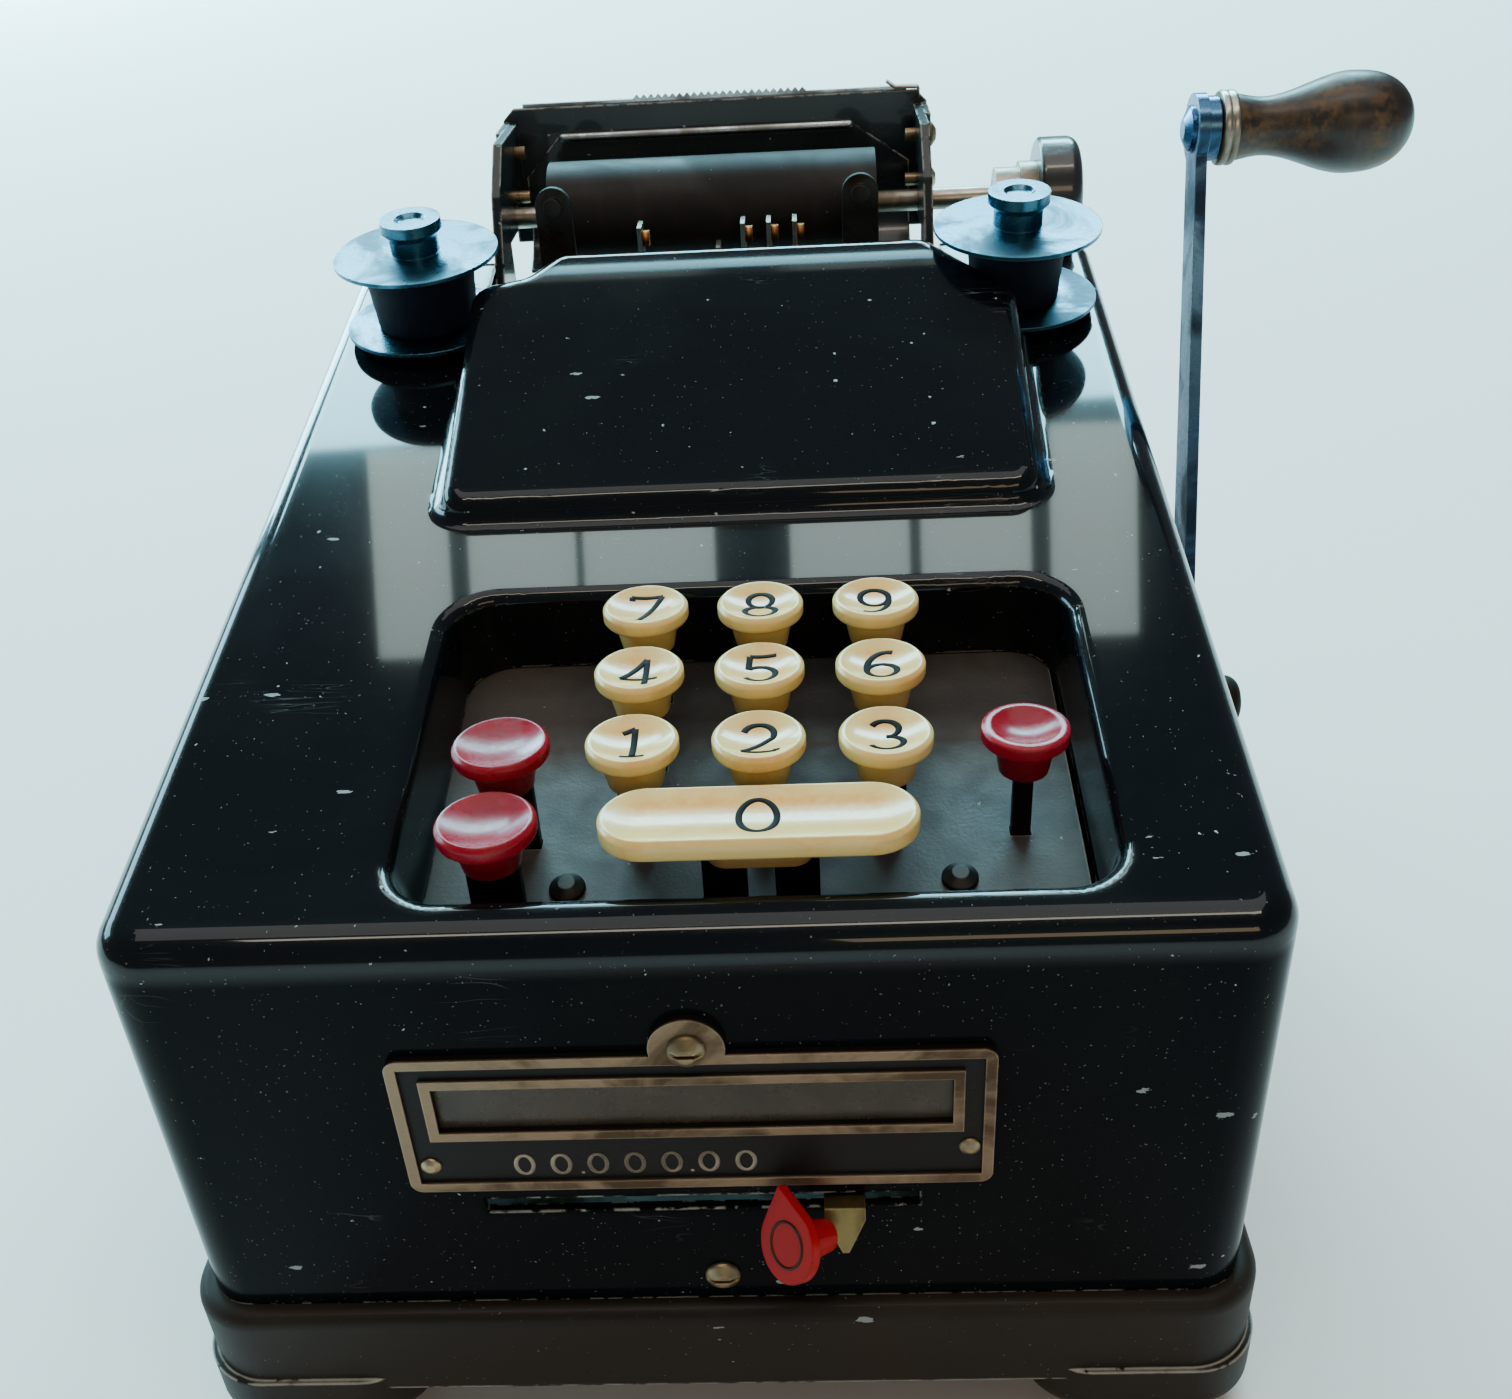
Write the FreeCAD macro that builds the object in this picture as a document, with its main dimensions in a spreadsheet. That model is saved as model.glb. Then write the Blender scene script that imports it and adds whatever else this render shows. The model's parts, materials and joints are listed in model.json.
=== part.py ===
import FreeCAD
import Part
import Sketcher
import math
import os

# Ten-key printing adding machine with a hand crank: a black enamelled pressed case on a cast base,
# a sunk keyboard, a column pointer on the front, two ribbon spools and a paper carriage behind.
# Millimetres. Machine axes: x to the right from the case's middle, y backwards from the case's front
# face, z up from the table. frame_x and frame_y carry the finished pieces to the part's own frame.

SIZES = [
    ("frame_x", -24.6, "from the part's origin to the case's middle"),
    ("frame_y", -104.5, "from the part's origin to the case's front face"),
    ("fit_gap", 0.05, "radial clearance of a pin in its hole"),
    ("seat_gap", 0.3, "clearance between pieces that nearly touch"),
    # Case
    ("case_width", 168.0, "case over its sides"),
    ("case_depth", 198.0, "case, front to back"),
    ("case_front", 74.8, "case front, up to the sharp front edge"),
    ("case_slope", 11.2, "rise of the case's top, in degrees"),
    ("case_wall", 1.5, "sheet of the case"),
    ("case_corner", 8.0, "upright corners of the case"),
    ("case_edge", 5.5, "edge round the case's top"),
    ("hood_front", 96.0, "start of the hood, up the slope"),
    ("hood_back", 173.0, "end of the hood, up the slope"),
    ("hood_left", -48.8, "left side of the hood at its front"),
    ("hood_right", 60.4, "right side of the hood at its front"),
    ("hood_spread", 2.6, "how far each side of the hood spreads towards the back"),
    ("hood_shoulder_right", 153.5, "start of the hood's right back corner, up the slope"),
    ("hood_shoulder_left", 162.0, "start of the hood's left back corner, up the slope"),
    ("hood_cut_right", 17.8, "width of the hood's right back corner"),
    ("hood_cut_left", 18.2, "width of the hood's left back corner"),
    ("hood_step", 11.5, "width of the shallow part of the hood's left back corner"),
    ("hood_step_run", 165.2, "end of that shallow part, up the slope"),
    ("hood_low", 4.6, "hood over the slope at its front"),
    ("hood_high", 17.0, "hood over the slope at its back"),
    ("hood_spare", 8.0, "how far the hood is drawn past its top before its top is cut"),
    ("hood_margin", 20.0, "how far that cut runs past the hood, front and back"),
    ("hood_above", 60.0, "height of that cut"),
    ("hood_draft", 8.0, "draft of the hood's sides, in degrees"),
    ("hood_corner", 5.5, "upright corners of the hood"),
    ("hood_edge", 3.6, "edge round the hood's top"),
    ("hood_root", 3.0, "hollow where the hood leaves the case"),
    ("well_left", -43.0, "left side of the keyboard well"),
    ("well_right", 61.0, "right side of the keyboard well"),
    ("well_front", 8.6, "front of the well, up the slope"),
    ("well_back", 74.6, "back of the well, up the slope"),
    ("well_depth", 15.0, "well, down from the slope"),
    ("well_draft", 5.0, "draft of the well's walls, in degrees"),
    ("well_corner", 8.0, "corners of the well"),
    ("well_lip", 2.5, "rolled lip of the well"),
    ("bay_left", -52.0, "left side of the opening for the carriage"),
    ("bay_right", 50.0, "right side of the opening for the carriage"),
    ("bay_front", 172.0, "front of the opening for the carriage"),
    ("bay_low", 118.0, "lower edge of the opening for the carriage"),
    # Base
    ("base_height", 30.0, "table to the ledge that the case stands on"),
    ("base_low", 12.0, "underside of the base's sides"),
    ("base_ledge", 3.2, "ledge outside the case"),
    ("base_wall", 6.0, "wall of the base"),
    ("base_corner", 11.2, "upright corners of the base"),
    ("base_edge", 2.5, "edge round the base's ledge"),
    ("flange_wide", 10.0, "inner flange of the base"),
    ("flange_thick", 3.0, "thickness of the inner flange"),
    ("pan_thick", 1.2, "bottom plate"),
    ("foot_size", 38.0, "corner foot of the base, along each side"),
    ("foot_low", 4.0, "underside of the corner feet"),
    ("foot_step", 14.5, "top of the step where a foot swells out of the side"),
    ("foot_swell", 0.8, "how far a foot stands out of the side"),
    ("foot_corner", 11.0, "upright corners of the feet"),
    ("foot_edge", 3.0, "lower edge of the feet"),
    ("rubber_radius", 10.0, "rubber foot"),
    ("rubber_taper", 0.8, "how much narrower the rubber foot is at the table"),
    ("rubber_height", 5.0, "rubber foot"),
    ("lug_height", 42.0, "top of the lugs that hold the case"),
    ("lug_width", 12.0, "lugs that hold the case"),
    ("lug_thick", 3.0, "lugs that hold the case"),
    # Screws and rivets
    ("screw_radius", 2.8, "head of the case screws"),
    ("screw_head", 1.6, "height of the case screws' heads"),
    ("dome_edge", 0.35, "upright edge of a round head, as a share of its height"),
    ("dome_crown", 0.45, "flat crown of a round head, as a share of its radius"),
    ("dome_round", 0.3, "round of that edge, as a share of the head's height"),
    ("screw_shank", 1.5, "shank of the case screws"),
    ("screw_length", 5.5, "shank of the case screws"),
    ("screw_slot", 0.8, "slot of the screws"),
    ("front_screw_x", 1.1, "screw under the front slot"),
    ("case_screw_z", 35.7, "height of the screws of the case"),
    ("rear_screw_x", 60.0, "screws at the back, from the middle"),
    ("rivet_radius", 1.6, "head of the rivets"),
    ("rivet_head", 0.8, "height of the rivets' heads"),
    ("rivet_shank", 0.9, "shank of the rivets"),
    # Inner frames
    ("frame_left_x", -54.0, "outer face of the left frame"),
    ("frame_right_x", 59.0, "outer face of the right frame"),
    ("frame_thick", 2.0, "side frames"),
    ("frame_front", 4.0, "front of the frames"),
    ("frame_back", 192.0, "back of the frames"),
    ("frame_step", 92.0, "where the frames rise behind the keyboard"),
    ("frame_sunk", 4.5, "frames under the slope behind the keyboard"),
    ("rod_radius", 2.5, "tie rods"),
    ("rail_y", 12.0, "front rod, which carries the column pointer"),
    ("rail_z", 52.8, "front rod, which carries the column pointer"),
    ("middle_rod_y", 95.0, "rod under the keyboard"),
    ("middle_rod_z", 32.0, "rod under the keyboard"),
    ("wheel_rod_y", 150.0, "rod of the adding wheels"),
    ("wheel_rod_z", 88.0, "rod of the adding wheels"),
    ("back_rod_y", 177.0, "rod behind the type bars"),
    ("back_rod_z", 108.0, "rod behind the type bars"),
    ("relief_radius", 10.0, "lightening holes of the frames"),
    # Keyboard
    ("plate_drop", 15.3, "top of the keyboard plate under the slope"),
    ("plate_thick", 1.2, "keyboard plate and key guide"),
    ("plate_screw_run", 25.4, "screws of the keyboard plate, up the slope"),
    ("plate_screw_left", -20.0, "left screw of the keyboard plate"),
    ("plate_screw_right", 39.6, "right screw of the keyboard plate"),
    ("plate_front", 3.0, "front of the keyboard plate, up the slope"),
    ("plate_back", 86.0, "back of the keyboard plate, up the slope"),
    ("guide_drop", 38.0, "top of the key guide under the slope"),
    ("guide_front", 10.0, "front of the key guide"),
    ("guide_back", 80.0, "back of the key guide"),
    ("stem_reach", 46.0, "lower ends of the stems under the slope"),
    ("stem_gap", 0.15, "clearance of a stem in its slot"),
    ("key_x", 10.0, "middle column of number keys"),
    ("key_pitch", 19.05, "number keys, side to side"),
    ("row_zero", 18.3, "row of the zero bar"),
    ("row_low", 34.1, "row of one, two and three"),
    ("row_middle", 50.0, "row of four, five and six"),
    ("row_high", 65.9, "row of seven, eight and nine"),
    ("crest_zero", 112.7, "top of the zero bar"),
    ("crest_low", 115.5, "tops of one, two and three"),
    ("crest_middle", 118.3, "tops of four, five and six"),
    ("crest_high", 121.0, "tops of seven, eight and nine"),
    ("left_key_x", -29.0, "red keys on the left"),
    ("right_key_x", 49.7, "red key on the right"),
    ("cap_radius", 7.1, "number key"),
    ("cap_rim", 0.7, "slant round the top of a key"),
    ("cap_side", 2.6, "foot of a key's upright side"),
    ("cap_under", 3.6, "foot of a key's undercut"),
    ("cap_neck", 5.2, "key under its undercut"),
    ("cap_foot", 4.3, "foot of a key"),
    ("cap_height", 8.0, "key, top to foot"),
    ("cap_dish", 1.6, "depth of a key's dished top"),
    ("red_radius", 7.4, "red keys on the left"),
    ("stem_width", 6.0, "stem of a number key"),
    ("stem_thick", 1.5, "stems"),
    ("red_stem_width", 8.0, "stems of the red keys on the left"),
    ("bar_length", 46.0, "zero bar"),
    ("bar_width", 14.0, "zero bar"),
    ("bar_rim", 3.5, "side of the zero bar"),
    ("bar_edge", 0.7, "edge round the zero bar's top"),
    ("bar_foot_long", 18.0, "block under the zero bar"),
    ("bar_foot_wide", 9.0, "block under the zero bar"),
    ("bar_foot_taper", 18.0, "taper of the block under the zero bar, in degrees"),
    ("bar_dish", 1.2, "hollow along the zero bar"),
    ("bar_stem_x", 5.3, "stems of the zero bar, from its middle"),
    ("bar_stem_width", 6.5, "stems of the zero bar"),
    ("end_radius", 6.6, "red key on the right"),
    ("end_side", 2.5, "side band of the red key on the right"),
    ("end_neck", 4.65, "skirt of the red key on the right, at its top"),
    ("end_foot", 3.75, "skirt of the red key on the right, at its foot"),
    ("end_stem_width", 3.0, "stem of the red key on the right"),
    # Front of the case
    ("slot_left", -34.3, "left end of the pointer's slot"),
    ("slot_right", 32.0, "right end of the pointer's slot"),
    ("slot_low", 51.3, "lower edge of the pointer's slot"),
    ("slot_high", 54.3, "upper edge of the pointer's slot"),
    ("window_left", -38.5, "left side of the window"),
    ("window_right", 36.6, "right side of the window"),
    ("window_low", 70.0, "lower edge of the window"),
    ("window_high", 79.0, "upper edge of the window"),
    ("window_rim", 1.6, "glass beyond the window in the plate"),
    ("glass_thick", 0.8, "window glass"),
    ("badge_left", -44.6, "left side of the indicator plate"),
    ("badge_right", 42.7, "right side of the indicator plate"),
    ("badge_low", 57.6, "lower edge of the indicator plate"),
    ("badge_high", 84.7, "upper edge of the indicator plate"),
    ("badge_thick", 1.3, "indicator plate over its raised border"),
    ("badge_sunk", 0.6, "field of the indicator plate under its border"),
    ("badge_border", 1.7, "border of the indicator plate"),
    ("badge_corner", 2.0, "corners of the indicator plate"),
    ("badge_bezel", 1.6, "raised frame round the window"),
    ("badge_ear", 5.5, "round ear on the indicator plate"),
    ("badge_ear_x", -1.0, "screw of the indicator plate"),
    ("badge_ear_z", 86.0, "screw of the indicator plate"),
    ("badge_rivet_left", -41.0, "left rivet of the indicator plate"),
    ("badge_rivet_left_z", 62.8, "left rivet of the indicator plate"),
    ("badge_rivet_right", 39.2, "right rivet of the indicator plate"),
    ("badge_rivet_right_z", 64.8, "right rivet of the indicator plate"),
    # Column pointer
    ("tab_left", 17.5, "left side of the pointer's tab"),
    ("tab_right", 23.7, "right side of the pointer's tab"),
    ("tab_thick", 0.9, "sheet of the tab"),
    ("tab_bend_y", -2.6, "where the tab turns down"),
    ("tab_tip_y", -4.9, "tip of the tab"),
    ("tab_tip_z", 46.5, "tip of the tab"),
    ("slider_size", 8.0, "block on the front rod"),
    ("pointer_x", 13.0, "middle of the pointer's face"),
    ("pointer_y", -8.4, "middle of the pointer's face"),
    ("pointer_z", 53.4, "middle of the pointer's face"),
    ("pointer_radius", 5.6, "round end of the pointer"),
    ("pointer_point", 8.4, "point of the pointer, from its middle"),
    ("pointer_rim", 1.6, "thickness of the pointer's face"),
    ("pointer_neck", 3.5, "neck of the pointer at its face"),
    ("pointer_tail", 2.4, "neck of the pointer at the tab"),
    ("pointer_reach", 6.6, "neck of the pointer"),
    # Crank
    ("crank_y", 121.0, "axis of the crank"),
    ("crank_z", 63.0, "axis of the crank"),
    ("crank_radius", 4.0, "crank shaft"),
    ("crank_left", -57.0, "left end of the crank shaft"),
    ("crank_right", 102.0, "right end of the crank shaft"),
    ("crank_hole", 10.0, "hole in the case's side for the crank"),
    ("bush_radius", 6.5, "bushes of the crank shaft"),
    ("bush_flange", 8.5, "flanges of the bushes"),
    ("bush_flange_thick", 1.5, "flanges of the bushes"),
    ("bush_length", 8.0, "bushes of the crank shaft"),
    ("hub_radius", 5.5, "hub of the crank"),
    ("hub_left", 86.0, "inner end of the hub"),
    ("hub_right", 108.5, "outer end of the hub"),
    ("hub_dome", 3.0, "round end of the hub"),
    ("arm_x", 95.2, "inner face of the arm"),
    ("arm_thick", 2.2, "arm"),
    ("arm_length", 115.4, "arm, from the shaft to the grip's pin"),
    ("arm_lean", 17.2, "lean of the arm backwards, in degrees"),
    ("arm_foot", 8.6, "arm round the hub"),
    ("arm_low", 5.5, "half the arm's width near the hub"),
    ("arm_high", 3.9, "half the arm's width at the grip"),
    ("arm_head", 6.6, "arm round the grip's pin"),
    ("pin_radius", 2.5, "pin of the grip"),
    ("pin_head", 4.4, "riveted head of the grip's pin"),
    ("pin_dome", 1.8, "riveted head of the grip's pin"),
    ("grip_start", 2.6, "from the arm to the grip"),
    ("grip_gap", 0.4, "gap between the pin's collar and the grip"),
    ("pin_collar", 6.0, "collar on the grip's pin"),
    ("grip_length", 37.2, "grip"),
    ("grip_collar", 6.7, "ferrule of the grip"),
    ("grip_ferrule", 2.7, "length of the ferrule"),
    ("grip_neck", 5.4, "grip at its neck"),
    ("grip_neck_at", 8.6, "neck of the grip, from its inner end"),
    ("grip_bulge", 9.7, "grip at its thickest"),
    ("grip_bulge_at", 25.0, "thickest place of the grip, from its inner end"),
    ("grip_shoulder", 8.3, "grip near its end"),
    ("grip_shoulder_at", 33.2, "shoulder of the grip, from its inner end"),
    ("grip_end", 3.6, "flat end of the grip"),
    ("grip_neck_round", 12.0, "round of the neck, along the grip"),
    ("grip_bulge_round", 14.0, "round of the thickest place, along the grip"),
    ("grip_shoulder_round", 4.0, "round of the shoulder, along the grip"),
    ("grip_bore", 30.0, "bore of the grip"),
    # Ribbon spools
    ("spool_left_x", -61.8, "left spool"),
    ("spool_right_x", 63.1, "right spool"),
    ("spool_y", 163.5, "spools, where their posts leave the case"),
    ("spool_lean", 7.0, "lean of the spools forwards, in degrees"),
    ("spool_lift", 2.0, "lower flange over the case"),
    ("spool_radius", 17.1, "flanges of the spools"),
    ("spool_flange", 0.8, "thickness of the flanges"),
    ("spool_height", 15.9, "spool over its flanges"),
    ("wound_left_low", 9.4, "ribbon wound on the left spool, at its foot"),
    ("wound_left_high", 11.2, "ribbon wound on the left spool, at its top"),
    ("wound_right_low", 8.4, "ribbon wound on the right spool, at its foot"),
    ("wound_right_high", 9.2, "ribbon wound on the right spool, at its top"),
    ("spool_clear", 0.9, "slot of the hood round a spool's lower flange"),
    ("slot_floor", 1.2, "lower edge of the hood's slots, over the slope"),
    ("slot_top", 5.0, "upper edge of the hood's slots, over the slope"),
    ("button_radius", 6.3, "button on a spool"),
    ("button_waist", 5.0, "waist of the button"),
    ("button_rim", 2.2, "upright rim of the button"),
    ("button_neck", 3.6, "from the button's top to its waist"),
    ("button_eye", 3.2, "hollow in the button's top"),
    ("button_sunk", 0.8, "depth of the hollow in the button's top"),
    ("button_height", 7.0, "button on a spool"),
    ("button_bore", 3.0, "depth of the button's closed end"),
    ("post_radius", 2.0, "post of a spool"),
    ("post_hole", 5.0, "hole in the case for a post"),
    ("collar_radius", 3.6, "collar that a spool turns on"),
    ("post_block_wide", 12.0, "block of a post, beside the frame"),
    ("post_block_deep", 14.0, "block of a post, front to back"),
    ("post_block_low", 100.0, "lower face of the blocks"),
    ("post_block_high", 114.0, "upper face of the blocks"),
    # Carriage
    ("bracket_left", -49.8, "outer face of the carriage's left cheek"),
    ("bracket_right", 47.8, "outer face of the carriage's right cheek"),
    ("bracket_thick", 2.0, "sheet of the carriage"),
    ("bracket_z", 120.0, "underside of the carriage's floor"),
    ("bracket_front", 178.0, "front of the carriage's floor"),
    ("bracket_back", 194.0, "back of the carriage's floor"),
    ("cheek_back", 221.0, "back of the cheeks, over the case"),
    ("cheek_step", 147.0, "where the cheeks pass over the case's back"),
    ("cheek_top", 168.0, "top of the cheeks"),
    ("cheek_front", 198.0, "front of the cheeks' tops"),
    ("table_y", 221.0, "front face of the paper table"),
    ("table_low", 140.0, "lower edge of the paper table"),
    ("table_high", 171.0, "upper edge of the paper table"),
    ("table_thick", 1.2, "sheet of the paper table"),
    ("table_cut", 2.5, "cut upper corners of the paper table"),
    ("table_flange", 12.0, "side flanges of the paper table"),
    ("table_flange_low", 147.5, "lower edge of the side flanges"),
    ("table_screw_y", 214.0, "screws of the side flanges"),
    ("table_screw_low", 152.5, "lower screws of the side flanges"),
    ("table_screw_high", 162.5, "upper screws of the side flanges"),
    ("blade_thick", 0.8, "tear blade"),
    ("blade_low", 158.0, "lower edge of the tear blade"),
    ("blade_high", 171.8, "roots of the blade's teeth"),
    ("tooth_pitch", 1.7, "teeth of the blade"),
    ("tooth_high", 0.9, "teeth of the blade"),
    ("teeth_left", -20.0, "first tooth of the blade"),
    ("teeth_count", 24, "teeth of the blade"),
    ("platen_y", 206.0, "axis of the platen"),
    ("platen_z", 149.6, "axis of the platen"),
    ("platen_radius", 12.0, "platen roller"),
    ("platen_left", -39.0, "left end of the roller"),
    ("platen_right", 36.0, "right end of the roller"),
    ("shaft_radius", 2.4, "platen shaft"),
    ("shaft_left", -53.0, "left end of the platen shaft"),
    ("shaft_collar", 6.3, "collar on the platen shaft"),
    ("shaft_collar_left", 63.5, "inner end of the collar"),
    ("shaft_hub", 7.5, "hub of the platen's knob"),
    ("shaft_hub_left", 69.0, "inner end of the knob's hub"),
    ("knob_left", 73.0, "inner face of the platen's knob"),
    ("knob_right", 82.5, "outer face of the platen's knob"),
    ("knob_radius", 12.5, "platen's knob"),
    ("knob_edge", 3.0, "round edge of the knob"),
    ("knob_face", 3.0, "knob beyond the end of its shaft"),
    ("chute_gap", 1.8, "paper guide round the platen"),
    ("chute_thick", 0.9, "sheet of the paper guide"),
    ("chute_left", -46.8, "left end of the paper guide"),
    ("chute_right", 44.8, "right end of the paper guide"),
    ("chute_start", -75.0, "lower end of the paper guide, degrees from the back"),
    ("chute_turn", 75.0, "turn of the paper guide, in degrees"),
    ("apron_top", 164.5, "upper edge of the paper guide"),
    ("apron_bend", 155.5, "height where the guide's ends begin to slant"),
    ("apron_left", -38.3, "left end of the upper edge"),
    ("apron_right", 31.8, "right end of the upper edge"),
    ("comb_z", 128.0, "underside of the type guide"),
    ("comb_thick", 2.0, "type guide"),
    ("comb_front", 181.0, "front of the type guide"),
    ("comb_back", 192.0, "back of the type guide"),
    ("finger_wide", 8.0, "upright fingers of the type guide"),
    ("finger_thick", 1.4, "upright fingers of the type guide"),
    ("finger_left", -35.8, "left finger"),
    ("finger_right", 31.8, "right finger"),
    ("finger_top", 157.0, "top of the fingers"),
    ("finger_y", 184.6, "front face of the fingers"),
    ("disc_radius", 2.0, "ribbon studs on the fingers"),
    ("disc_length", 1.6, "ribbon studs on the fingers"),
    ("type_pitch", 5.75, "type bars, side to side"),
    ("type_thick", 1.0, "type bar"),
    ("type_deep", 6.0, "type bar, front to back"),
    ("type_front", 184.0, "front edge of the type bars"),
    ("type_low", 70.0, "lower ends of the type bars"),
    ("type_high", 151.7, "upper ends of the type bars"),
    ("type_down", 5.0, "the fourth type bar under the others"),
    ("type_sunk", 10.0, "the second and third type bars under the others"),
    ("type_gap", 0.25, "clearance of the type bars in the guide"),
    ("wheel_radius", 11.0, "adding wheel over its teeth"),
    ("wheel_root", 8.6, "adding wheel between its teeth"),
    ("wheel_thick", 3.0, "adding wheel"),
    ("wheel_pitch", 5.6, "adding wheels, side to side"),
]

Vector = FreeCAD.Vector
Rotation = FreeCAD.Rotation

doc = FreeCAD.newDocument("AddingMachine")
spec = doc.addObject("Spreadsheet::Sheet", "Spec")
for row, (alias, number, meaning) in enumerate(SIZES, 1):
    spec.set("A%d" % row, alias)
    spec.set("B%d" % row, str(number))
    spec.set("C%d" % row, meaning)
    spec.setAlias("B%d" % row, alias)
doc.recompute()


def value(expression):
    """The number that an expression over the sheet has now."""
    return float(spec.evalExpression(str(expression)))


def bind(item, paths):
    """Ties properties of an object to expressions over the sheet."""
    for path, expression in paths.items():
        item.setExpression(path, str(expression))


def new_body(label):
    """An empty body that will be written under its label."""
    body = doc.addObject("PartDesign::Body", label)
    body.Label = label
    return body


def attach(sketch, body, plane, lift="0", tilt=None):
    """Lays a sketch on an origin plane of its body, lifted off it, or tilted about its own x."""
    role = plane + "_Plane"
    support = [item for item in body.Origin.OriginFeatures if item.Role == role][0]
    sketch.AttachmentSupport = (support, [""])
    sketch.MapMode = "FlatFace"
    if tilt:
        sketch.AttachmentOffset = FreeCAD.Placement(Vector(), FreeCAD.Rotation(Vector(1, 0, 0), value(tilt)))
        bind(sketch, {"AttachmentOffset.Rotation.Angle": tilt})
    bind(sketch, {"AttachmentOffset.Base.z": lift})


def polygon(body, name, plane, corners, lift="0", tilt=None):
    """A closed outline; each corner is held by two driven distances from the sketch's origin."""
    sketch = body.newObject("Sketcher::SketchObject", name)
    attach(sketch, body, plane, lift, tilt)
    add_polygon(sketch, corners)
    return sketch


def add_polygon(sketch, corners):
    """Adds one closed outline to a sketch."""
    first = sketch.GeometryCount
    points = [Vector(value(x), value(y), 0) for x, y in corners]
    count = len(points)
    for index, point in enumerate(points):
        sketch.addGeometry(Part.LineSegment(point, points[(index + 1) % count]), False)
    for index in range(count):
        following = first + (index + 1) % count
        sketch.addConstraint(Sketcher.Constraint("Coincident", first + index, 2, following, 1))
    for index, (x, y) in enumerate(corners):
        for kind, expression in (("DistanceX", x), ("DistanceY", y)):
            pin = Sketcher.Constraint(kind, -1, 1, first + index, 1, value(expression))
            number = sketch.addConstraint(pin)
            sketch.setExpression("Constraints[%d]" % number, str(expression))


def circles(body, name, plane, rounds, lift="0", tilt=None):
    """A sketch of circles, each given by its centre and radius."""
    sketch = body.newObject("Sketcher::SketchObject", name)
    attach(sketch, body, plane, lift, tilt)
    for index, (x, y, radius) in enumerate(rounds):
        circle = Part.Circle(Vector(value(x), value(y), 0), Vector(0, 0, 1), value(radius))
        sketch.addGeometry(circle, False)
        pins = (("DistanceX", (-1, 1, index, 3), x), ("DistanceY", (-1, 1, index, 3), y),
                ("Radius", (index,), radius))
        for kind, where, expression in pins:
            number = sketch.addConstraint(Sketcher.Constraint(kind, *where, value(expression)))
            sketch.setExpression("Constraints[%d]" % number, str(expression))
    return sketch


def feature(kind, body, name, sketch, length, side="One side", reverse=False, taper=None):
    """A pad or a pocket of a sketch."""
    item = body.newObject("PartDesign::" + kind, name)
    item.Profile = sketch
    item.Type = "Length"
    item.SideType = side
    item.Reversed = reverse
    bind(item, {"Length": length})
    if taper:
        bind(item, {"TaperAngle": taper})
    sketch.Visibility = False
    doc.recompute()
    sound(item)
    return item


def sound(item):
    """Stops at once when a feature failed."""
    if "Invalid" in item.State or item.Shape.isNull():
        raise RuntimeError(item.Name + " failed")


def pad(body, name, sketch, length, side="One side", reverse=False, taper=None):
    return feature("Pad", body, name, sketch, length, side, reverse, taper)


def pocket(body, name, sketch, length, side="One side", reverse=False, taper=None):
    """A pocket, which must take something away."""
    before = body.Shape.Volume
    item = feature("Pocket", body, name, sketch, length, side, reverse, taper)
    if body.Shape.Volume > before - 0.01:
        raise RuntimeError(name + " cuts nothing")
    return item


def edge_names(shape, wanted):
    """Names of the edges whose middle point and edge pass a test."""
    names = []
    for number, edge in enumerate(shape.Edges, 1):
        middle = edge.valueAt((edge.FirstParameter + edge.LastParameter) / 2)
        if wanted(edge, middle):
            names.append("Edge%d" % number)
    return names


def fillet(body, name, wanted, radius):
    """A fillet on the edges that pass a test."""
    base = body.Tip
    names = edge_names(base.Shape, wanted)
    item = body.newObject("PartDesign::Fillet", name)
    if not names:
        raise RuntimeError(name + " found no edge")
    item.Base = (base, names)
    bind(item, {"Radius": radius})
    doc.recompute()
    sound(item)
    return item


def slope_height(point):
    """Height of a point over the plane of the case's top."""
    angle = math.radians(value("Spec.case_slope"))
    rise = point.z - value("Spec.base_height + Spec.case_front")
    return rise * math.cos(angle) - point.y * math.sin(angle)


def slope_run(point):
    """Distance of a point up the case's top from its sharp front edge."""
    angle = math.radians(value("Spec.case_slope"))
    rise = point.z - value("Spec.base_height + Spec.case_front")
    return rise * math.sin(angle) + point.y * math.cos(angle)


def upright(edge):
    """True for an edge that runs straight up."""
    start, end = edge.valueAt(edge.FirstParameter), edge.valueAt(edge.LastParameter)
    return abs(start.x - end.x) < 0.01 and abs(start.y - end.y) < 0.01


def case_top(y):
    """Height of the sharp case top over the table at a given y, as an expression."""
    return "(Spec.base_height + Spec.case_front + (%s) * tan(Spec.case_slope))" % y


# Corners of the hood's plan: x, distance up the slope, and how far x and that distance move for each
# millimetre that the form is drawn in, so that its wall stays even
BACK_LEFT, BACK_RIGHT = "(Spec.hood_left - Spec.hood_spread)", "(Spec.hood_right + Spec.hood_spread)"
HOOD_PLAN = [
    ("Spec.hood_left", "Spec.hood_front", 1, 1),
    ("Spec.hood_right", "Spec.hood_front", -1, 1),
    (BACK_RIGHT, "Spec.hood_shoulder_right", -1, -0.39),
    (BACK_RIGHT + " - Spec.hood_cut_right", "Spec.hood_back", -0.44, -1),
    (BACK_LEFT + " + Spec.hood_cut_left", "Spec.hood_back", 0.45, -1),
    (BACK_LEFT + " + Spec.hood_step", "Spec.hood_step_run", 0.55, -0.89),
    (BACK_LEFT, "Spec.hood_shoulder_left", 1, -0.76),
]


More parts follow.
